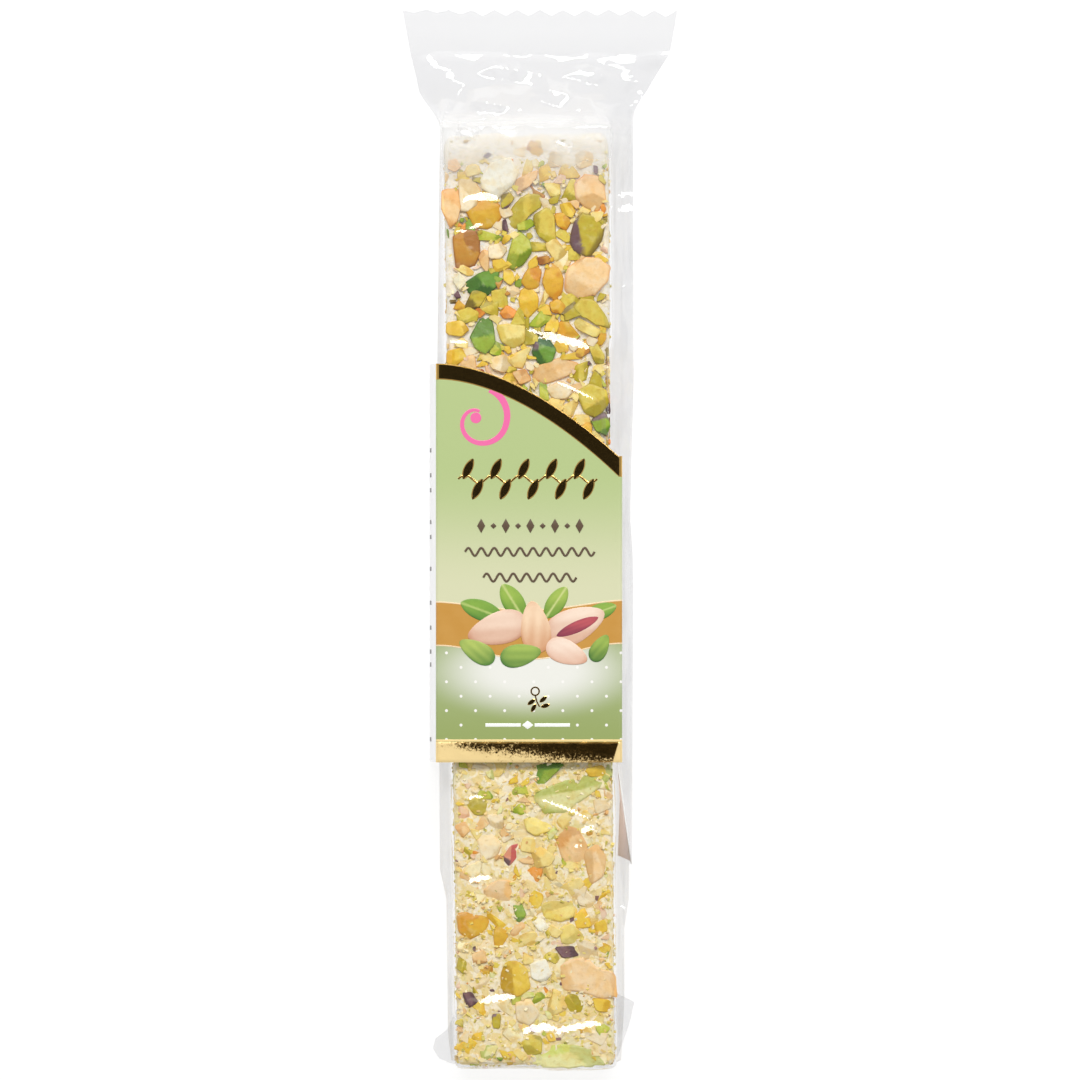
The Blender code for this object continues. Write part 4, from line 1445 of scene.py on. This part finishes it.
class Print:
    """Thin shapes laid on the sleeve's front, which become one mesh."""

    def __init__(self, rise=0.02 * MM, rim=0.06 * MM):
        self.rise, self.rim = rise, rim
        self.corners, self.faces, self.colours, self.count = [], [], [], 0

    def add(self, corners, faces, colours):
        """Adds one closed shape."""
        self.corners.append(corners)
        self.faces += [tuple(self.count + corner for corner in face) for face in faces]
        self.colours.append(colours)
        self.count += len(corners)

    def fill(self, outline, paint=None, lift=0.0):
        """Fills an outline that can be seen whole from its middle."""
        middle = outline.mean(axis=0)
        size = np.hypot(*(outline - middle).T).min()
        shares = [1.0, 1.0, max(0.4, 1 - self.rim / size)]
        shares += [share for share in (0.8, 0.6, 0.4, 0.2) if paint and share < shares[-1]]
        heights = [-INTO_CARD, lift, *[lift + self.rise] * (len(shares) - 2)]
        rings = [middle + share * (outline - middle) for share in shares] + [middle[None]]
        points = np.vstack(rings)
        count = len(outline)
        level = np.append(np.repeat(heights, count), lift + self.rise)
        faces = []
        for layer in range(len(shares) - 1):
            for i in range(count):
                a, b = layer * count + i, layer * count + (i + 1) % count
                faces.append((a, b, b + count, a + count))
        inner, hub = (len(shares) - 1) * count, len(points) - 1
        faces += [(inner + i, inner + (i + 1) % count, hub) for i in range(count)]
        faces.append(tuple(reversed(range(count))))
        colours = paint(points) if paint else np.ones((len(points), 3))
        self.add(np.column_stack([points, SLEEVE_TOP + level]), faces, colours)

    def stroke(self, line, half, lift=0.0):
        """Draws a line with the given half width at each of its points."""
        line, half = np.asarray(line), np.broadcast_to(half, len(line))[:, None]
        along = np.gradient(line, axis=0)
        across = np.column_stack([-along[:, 1], along[:, 0]]) / np.hypot(*along.T)[:, None]
        self.band(line + across * half, line - across * half, lift)

    def band(self, upper, lower, lift=0.0, waves=None, rows=1):
        """Fills between two lines, with a sloping rim along both."""
        width = np.linalg.norm(lower - upper, axis=1)[:, None]
        rim = np.minimum(self.rim / width, 0.3)
        shares = [0, 0, *[rim + (1 - 2 * rim) * row / rows for row in range(rows + 1)], 1, 1]
        heights = [-INTO_CARD, lift, *[lift + self.rise] * (rows + 1), lift, -INTO_CARD]
        lines = []
        for share, height in zip(shares, heights):
            flat = mix(upper, lower, share)
            level = np.full(len(flat), SLEEVE_TOP + height) - fold_drop(flat[:, 0])
            if waves and height > lift:
                level += waves(flat[:, 0], flat[:, 1])
            lines.append(np.column_stack([flat, level]))
        count, loop = len(upper), len(lines)
        faces = []
        for row in range(loop):
            there = (row + 1) % loop
            for i in range(count - 1):
                here, beyond = row * count + i, there * count + i
                faces.append((here, beyond, beyond + 1, here + 1))
        for i in (0, count - 1):
            faces.append(tuple(row * count + i for row in range(loop)))
        self.add(np.vstack(lines), faces, np.ones((loop * count, 3)))

    def piece(self, name, finish, slot, sharp=8):
        """All shapes as one piece, with edges sharp past an angle in degrees."""
        colours = np.vstack(self.colours)
        piece = mesh_piece(name, np.vstack(self.corners), self.faces, [finish], colours)
        piece.data.set_sharp_from_angle(angle=math.radians(sharp))


def fold_drop(x):
    """How far the card's front has bent down at x, close to its two long folds."""
    left, right = SLEEVE_LEFT + SLEEVE_FOLD_RADIUS, SLEEVE_RIGHT - SLEEVE_FOLD_RADIUS
    past = np.clip(np.maximum(left - x, x - right), 0, SLEEVE_FOLD_RADIUS)
    return 0.96 * (SLEEVE_FOLD_RADIUS - np.sqrt(SLEEVE_FOLD_RADIUS**2 - past**2))


def front_columns(count):
    """Places across the sleeve's front, close together on its two folds."""
    turns = np.radians(np.linspace(15, 90, 7))
    into = SLEEVE_FOLD_RADIUS * (1 - np.cos(turns))
    flat = np.linspace(SLEEVE_LEFT + into[-1], SLEEVE_RIGHT - into[-1], count)
    return np.concatenate([SLEEVE_LEFT + into[:-1], flat, SLEEVE_RIGHT - into[:-1][::-1]])


def placed_outline(points, middle, turn):
    """A small outline moved to its place (in mm) and turned (in degrees)."""
    cos, sin = math.cos(math.radians(turn)), math.sin(math.radians(turn))
    x, y = np.asarray(points, float).T
    turned = np.column_stack([x * cos - y * sin, x * sin + y * cos])
    return (turned + np.array(middle)) * MM


def leaf_shape(length, width, count=36):
    """A leaf's outline, pointed at both ends."""
    turns = np.linspace(0, 2 * math.pi, count, endpoint=False)
    along = np.cos(turns)
    return np.column_stack([length / 2 * along, width / 2 * np.sin(turns) * (1 - along**2) ** 0.15])


def almond_shape(length, width, count=40):
    """A kernel's outline, fuller towards one end."""
    turns = np.linspace(0, 2 * math.pi, count, endpoint=False)
    along = np.cos(turns)
    return np.column_stack([length / 2 * along, width / 2 * np.sin(turns) * (0.86 - 0.24 * along)])


def painted(middle, turn, length, width, light, dark, streaks=0.0, vein=None):
    """Paint for one motif: lit from above, with streaks along it or a vein in its middle."""
    cos, sin = math.cos(math.radians(turn)), math.sin(math.radians(turn))
    light, dark = np.array(ink(*light)), np.array(ink(*dark))

    def paint(points):
        local = points / MM - np.array(middle)
        u = (local[:, 0] * cos + local[:, 1] * sin) / (length / 2)
        v = (local[:, 1] * cos - local[:, 0] * sin) / (width / 2)
        up = local[:, 1] / (width / 2)
        shade = smooth(up, 0.9, -0.9) * 0.62 + 0.5 * np.clip(u * u + v * v, 0, 1) ** 3
        shade = shade + streaks * np.sin(v * 9 + 3 * u) * (1 - u * u)
        colour = mix(light, dark, np.clip(shade, 0, 1)[:, None])
        if vein:
            on_vein = (1 - smooth(np.abs(v), 0.04, 0.16))[:, None] * 0.8
            colour = mix(colour, np.array(ink(*vein)), on_vein)
        return colour

    return paint


def foil_bands(smooth_foil, worn_and_sheen_foil):
    """The foil along the sleeve's curved far edge, and along its near edge."""
    arc = Print(rise=0.05 * MM, rim=0.2 * MM)
    x = front_columns(50)
    drop = mix(3.0, 3.9, ((x - x[0]) / (x[-1] - x[0])) ** 2) * MM
    edge = sleeve_far_end(x)
    arc.band(np.column_stack([x, edge]), np.column_stack([x, edge - drop]))
    arc.piece("foil_arc", smooth_foil, "gold_foil")
    strip = Print(rise=0.05 * MM, rim=0.2 * MM)
    x = front_columns(90)
    top, low = np.full(len(x), FOIL_STRIP_TOP), np.full(len(x), SLEEVE_NEAR)

    def wrinkles(x, y):
        return 0.05 * MM * (crumple(x, y, 1.6 * MM, 121) - 0.5)

    strip.band(np.column_stack([x, top]), np.column_stack([x, low]), waves=wrinkles, rows=8)
    strip.piece("foil_strip", worn_and_sheen_foil, "gold_foil", 40)
    line = Print(rise=0.03 * MM)
    x = front_columns(12)
    upper, lower = np.full(len(x), PALE_LINE_TOP), np.full(len(x), PALE_LINE_LOW)
    line.band(np.column_stack([x, upper]), np.column_stack([x, lower]))
    pale = ink_finish("pale_gold_ink", ink(250, 226, 160), ink(246, 214, 140))
    line.piece("pale_line", pale, "printed_card")


def garland(foil):
    """A foil garland of slanted leaves on a waved stem. Its sizes are in millimetres."""
    start, end, stem_y, wave_length = -15.3, 10.7, 11.4, 5.2
    made = Print(rise=0.04 * MM, rim=0.16 * MM)
    x = np.linspace(start, end, 90)
    stem = np.column_stack([x, stem_y + 0.75 * np.sin((x - start) / wave_length * 2 * math.pi)]) * MM
    made.stroke(stem, 0.2 * MM)
    for number in range(10):
        place = start + 1.3 + number * wave_length / 2
        if number % 2 == 0:
            middle, lean = (place + 0.55, stem_y + 1.9), 64
        else:
            middle, lean = (place - 0.3, stem_y - 1.9), 244
        made.fill(placed_outline(leaf_shape(4.3, 1.7), middle, lean), lift=0.01 * MM)
    made.piece("foil_garland", foil, "gold_foil")


def brown_rules(finish):
    """A row of brown lozenges and two waved brown lines. Their sizes are in millimetres."""
    made = Print(rise=0.015 * MM, rim=0.03 * MM)
    for number in range(9):
        middle = (-11.0 + number * 2.3, 2.65)
        across, up = (1.35, 0.75) if number % 2 == 0 else (0.55, 0.55)
        lozenge = [(across, 0), (0, up), (-across, 0), (0, -up)]
        made.fill(placed_outline(lozenge, middle, 90), lift=ABOVE_PICTURE)
    for row, (start, end) in ((-2.2, (-14.0, 10.2)), (-7.0, (-10.6, 6.8))):
        x = np.linspace(start, end, 120)
        turns = round((end - start) / 2.4) * 2 * math.pi
        wave = np.column_stack([x, row + 0.75 * np.sin((x - start) / (end - start) * turns)])
        made.stroke(wave * MM, 0.2 * MM, lift=ABOVE_PICTURE)
    made.piece("brown_rules", finish, "printed_card", 60)


# The picture's motifs: shape, middle, turn, length, width, light, dark, streaks, vein
PICTURE = [
    (leaf_shape, (-5.0, -11.6), 122, 7.8, 4.0, (158, 192, 84), (96, 146, 52), 0.05, (206, 220, 140)),
    (leaf_shape, (-10.8, -13.2), 160, 8.6, 3.8, (140, 182, 76), (76, 130, 52), 0.05, (190, 212, 124)),
    (leaf_shape, (3.0, -11.7), 56, 7.0, 3.4, (170, 198, 92), (104, 150, 56), 0.05, (214, 224, 150)),
    (leaf_shape, (11.2, -13.4), 20, 6.6, 3.0, (150, 188, 80), (86, 138, 54), 0.05, (198, 216, 132)),
    (almond_shape, (6.6, -15.9), 24, 12.0, 7.4, (252, 232, 212), (212, 156, 124), 0.1, None),
    (almond_shape, (-8.0, -16.6), 196, 11.4, 7.0, (250, 226, 204), (206, 148, 116), 0.1, None),
    (leaf_shape, (7.0, -16.2), 24, 8.8, 2.2, (196, 92, 100), (126, 54, 78), 0.1, None),
    (almond_shape, (-0.9, -16.3), 98, 9.8, 6.4, (250, 222, 188), (214, 156, 112), 0.16, None),
    (almond_shape, (5.0, -21.0), 338, 8.2, 5.2, (254, 236, 218), (222, 170, 140), 0.05, None),
    (almond_shape, (-3.6, -21.5), 12, 7.8, 4.8, (170, 198, 96), (78, 128, 58), 0.14, None),
    (almond_shape, (-11.8, -20.8), 150, 7.4, 4.4, (182, 204, 104), (86, 136, 60), 0.14, None),
    (almond_shape, (11.2, -20.2), 60, 5.6, 3.6, (160, 190, 88), (76, 122, 56), 0.14, None),
]


def picture(finish):
    """A printed heap of pale and green kernels with leaves behind it, each over the one before."""
    made = Print(rise=0.02 * MM, rim=0.05 * MM)
    for order, (shape, middle, turn, length, width, light, dark, streaks, vein) in enumerate(PICTURE):
        outline = placed_outline(shape(length, width), middle, turn)
        paint = painted(middle, turn, length, width, light, dark, streaks, vein)
        made.fill(outline, paint, lift=0.004 * MM * (order + 9))
    made.piece("printed_nuts", finish, "printed_card", 80)


def gold_ribbon(gold, pale):
    """The printed gold ribbon behind the picture, with a pale line along each edge."""
    x = front_columns(44)
    share = (x - x[0]) / (x[-1] - x[0])
    sag = np.sin(math.pi * share)
    top = (mix(-11.6, -11.3, share) - 1.7 * sag**1.6) * MM
    low = (mix(-19.7, -19.3, share) - 2.8 * sag**2) * MM
    body, edges = Print(), Print()
    body.band(np.column_stack([x, top]), np.column_stack([x, low]))
    body.piece("gold_ribbon", gold, "printed_card")
    edges.stroke(np.column_stack([x, top]), 0.14 * MM, lift=0.012 * MM)
    edges.stroke(np.column_stack([x, low]), 0.14 * MM, lift=0.012 * MM)
    edges.piece("ribbon_edges", pale, "printed_card")


def foil_sprig(foil):
    """A small foil sprig: a ring, a stem and four leaves. Its sizes are in millimetres."""
    made = Print(rise=0.03 * MM, rim=0.05 * MM)
    turns = np.linspace(0, 2 * math.pi, 33)
    ring = np.column_stack([-0.9 + 0.75 * np.cos(turns), -28.3 + 0.75 * np.sin(turns)]) * MM
    made.stroke(ring, 0.15 * MM)
    made.stroke(np.array([(-0.9, -29.05), (-0.6, -30.2), (-0.1, -31.2)]) * MM, 0.14 * MM)
    for x, y, turn in ((-1.6, -30.3, 215), (0.6, -29.8, 40), (1.0, -31.0, 15), (-1.2, -31.4, 240)):
        made.fill(placed_outline(leaf_shape(1.8, 0.8, 20), (x, y), turn), lift=0.01 * MM)
    made.piece("foil_sprig", foil, "gold_foil")


def white_rule(finish):
    """A white line with a lozenge in its middle."""
    row, middle = -34.6, -2.3
    made = Print(rise=0.015 * MM, rim=0.03 * MM)
    for start, end in ((-10.2, -3.6), (-1.0, 5.6)):
        made.stroke(np.array([(start, row), (end, row)]) * MM, 0.32 * MM)
    made.fill(placed_outline([(1.1, 0), (0, 0.8), (-1.1, 0), (0, -0.8)], (middle, row), 0))
    made.piece("white_rule", finish, "printed_card", 60)


def side_dashes(finish):
    """Short upright dashes on the sleeve's left side panel, which leans."""
    corners, faces = [], []
    lean = SLEEVE_LEAN / (SLEEVE_TOP - 2 * SLEEVE_FOLD_RADIUS)
    for number, pixel in enumerate(SIDE_MARKS):
        y = (PHOTO_MIDDLE - pixel) * PHOTO_PIXEL
        for end in (y - 0.4 * MM, y + 0.4 * MM):
            for z in (1.6 * MM, 5.2 * MM):
                x = SLEEVE_LEFT - lean * (SLEEVE_TOP - SLEEVE_FOLD_RADIUS - z)
                corners += [(x + 0.05 * MM, end, z), (x - 0.02 * MM, end, z)]
        a = number * 8
        faces += [
            (a, a + 1, a + 3, a + 2), (a + 4, a + 6, a + 7, a + 5), (a, a + 4, a + 5, a + 1),
            (a + 2, a + 3, a + 7, a + 6), (a + 1, a + 5, a + 7, a + 3), (a, a + 2, a + 6, a + 4),
        ]
    mesh_piece("side_dashes", corners, faces, [finish])


def curl(finish):
    """A printed pink curl that winds in from under the foil to a round end."""
    made = Print()
    share = np.linspace(0, 1, 90)
    turns = np.radians(mix(112, 436, share))
    radius = 1.55 + 2.95 * (1 - (1 - np.clip(share / 0.45, 0, 1)) ** 2)
    radius += 1.3 * np.clip((share - 0.72) / 0.28, 0, 1) ** 1.5
    centre = np.array([-10.75, 22.6]) * MM
    line = centre + radius[:, None] * MM * np.column_stack([np.cos(turns), np.sin(turns)])
    made.stroke(line, mix(0.28, 0.68, share**0.9) * MM)
    knob = np.array([-12.0, 22.85]) * MM
    around = np.linspace(0, 2 * math.pi, 24, endpoint=False)
    made.fill(knob + 1.04 * MM * np.column_stack([np.cos(around), np.sin(around)]), lift=0.004 * MM)
    made.piece("pink_curl", finish, "printed_card")


# Corners of the pleat and of its edge, in the photo
PLEAT = [(618, 768), (622, 797), (631, 862), (618, 856), (620, 800)]
PLEAT_EDGE = [(616.5, 760), (618, 760), (632.3, 864), (631, 865)]


def film_pleat(finish, pale):
    """A pleat in the loose film below the sleeve, its colour a painted reflection of the bar's side,
    with a pale line along its edge that is a painted highlight.
    """
    def plate(name, outline, worn, lift):
        """A thin plate over an outline in the photo, lower towards the fold's edge."""
        flat = from_photo(outline)
        level = mix(6.6, 5.2, (flat[:, 0] / MM - 14.2) / 3.0) * MM + lift
        count = len(flat)
        corners = np.vstack([np.column_stack([flat, level]), np.column_stack([flat, level - 0.05 * MM])])
        faces = [tuple(range(count)), tuple(count + i for i in reversed(range(count)))]
        faces += [(i, (i + 1) % count, count + (i + 1) % count, count + i) for i in range(count)]
        mesh_piece(name, corners, faces, [worn])

    plate("film_pleat", PLEAT, finish, 0.0)
    # The pale line along the fold is a painted highlight.
    plate("pleat_edge", PLEAT_EDGE, pale, 0.08 * MM)


def main():
    """Every piece, from the nougat out to the print."""
    nougat = nougat_piece(nougat_finish())
    nut_pieces({
        "almond": nut_finish("cut_almond", grain=0.9 * MM, depth=0.1 * MM, gloss=0.38),
        "peanut": nut_finish("roast_peanut", grain=1.1 * MM, depth=0.14 * MM, gloss=0.34),
        "pistachio": nut_finish("cut_pistachio", grain=0.8 * MM, depth=0.12 * MM, gloss=0.34),
        "skin": nut_finish("nut_skin", grain=0.4 * MM, depth=0.2 * MM, gloss=0.5),
    })
    crumb_pieces(nougat, crumb_finish())
    film = film_finish()
    film_piece(film)
    tucked_seal_piece(film)
    white_card = white_card_finish()
    film_pleat(pleat_finish(), white_card)
    sleeve_piece(card_front_finish(), white_card)
    foil = foil_finish()
    foil_bands(foil, worn_and_sheen_foil_finish())
    garland(foil)
    brown_rules(ink_finish("brown_ink", ink(92, 74, 56), ink(104, 86, 66)))
    gold_ribbon(
        ink_finish("ribbon_ink", ink(200, 147, 62), ink(212, 164, 84)),
        ink_finish("pale_ink", ink(248, 226, 186), ink(244, 218, 172)),
    )
    picture(picture_finish())
    foil_sprig(foil)
    white_rule(ink_finish("white_ink", linear(250, 251, 246), linear(244, 246, 238)))
    side_dashes(ink_finish("grey_ink", ink(96, 94, 92), ink(120, 118, 116)))
    curl(ink_finish("pink_ink", ink(243, 110, 170), ink(240, 118, 176)))


def softbox(name, direction, distance, width, height, power):
    """A rectangular lamp aimed at the bar."""
    data = bpy.data.lights.new(name, "AREA")
    data.shape, data.size, data.size_y, data.energy = "RECTANGLE", width, height, power
    lamp = bpy.data.objects.new(name, data)
    lamp.location = Vector(direction).normalized() * distance
    lamp.rotation_euler = Vector(direction).to_track_quat("Z", "Y").to_euler()
    bpy.context.scene.collection.objects.link(lamp)


def pale_floor():
    """A plain pale floor just under the pack."""
    half, level = 3.0, -0.2 * MM
    mesh = bpy.data.meshes.new("floor")
    around = [(-half, -half, level), (half, -half, level), (half, half, level), (-half, half, level)]
    mesh.from_pydata(around, [], [(0, 1, 2, 3)])
    finish = Finish("pale_floor")
    finish.set(
        Base_Color=(0.2, 0.2, 0.2),
        Roughness=1.0,
        Specular_IOR_Level=0.0,
        Emission_Color=(1.0, 1.0, 1.0),
        Emission_Strength=0.85,
    )
    mesh.materials.append(finish.material)
    floor = bpy.data.objects.new("floor", mesh)
    bpy.context.scene.collection.objects.link(floor)


def soft_sky():
    """Even light from all round, with a dark patch overhead that keeps the flat film clear."""
    world = bpy.data.worlds.new("studio")
    bpy.context.scene.world = world
    world.use_nodes = True
    nodes, links = world.node_tree.nodes, world.node_tree.links
    background = nodes["Background"]
    place = nodes.new("ShaderNodeTexCoord")
    split_place = nodes.new("ShaderNodeSeparateXYZ")
    links.new(place.outputs["Generated"], split_place.inputs[0])
    ramp = nodes.new("ShaderNodeMapRange")
    ramp.interpolation_type = "SMOOTHSTEP"
    links.new(split_place.outputs["Z"], ramp.inputs[0])
    patch_starts, patch_full, even_light, patch_light = 0.965, 0.986, 0.5, 0.02
    for index, value in enumerate((patch_starts, patch_full, even_light, patch_light), 1):
        ramp.inputs[index].default_value = value
    links.new(ramp.outputs[0], background.inputs["Strength"])
    background.inputs["Color"].default_value = (1.0, 1.0, 1.0, 1.0)


def camera_above():
    """The camera looks straight down and takes in the photo's whole frame."""
    distance = 2.2
    data = bpy.data.cameras.new("camera")
    data.sensor_width = 36
    data.lens = data.sensor_width * distance / (2 * PHOTO_MIDDLE * PHOTO_PIXEL)
    data.clip_start, data.clip_end = 0.1, 10
    camera = bpy.data.objects.new("camera", data)
    camera.location = (0, 0, distance + 11 * MM)
    bpy.context.scene.collection.objects.link(camera)
    bpy.context.scene.camera = camera


def studio():
    """The floor, a long soft lamp beyond the far end, the sky and the camera."""
    bpy.context.scene.view_settings.view_transform = "Standard"
    pale_floor()
    softbox("key", (0.04, 0.84, 1.0), distance=1.3, width=1.6, height=0.3, power=17.9)
    soft_sky()
    camera_above()


main()
studio()
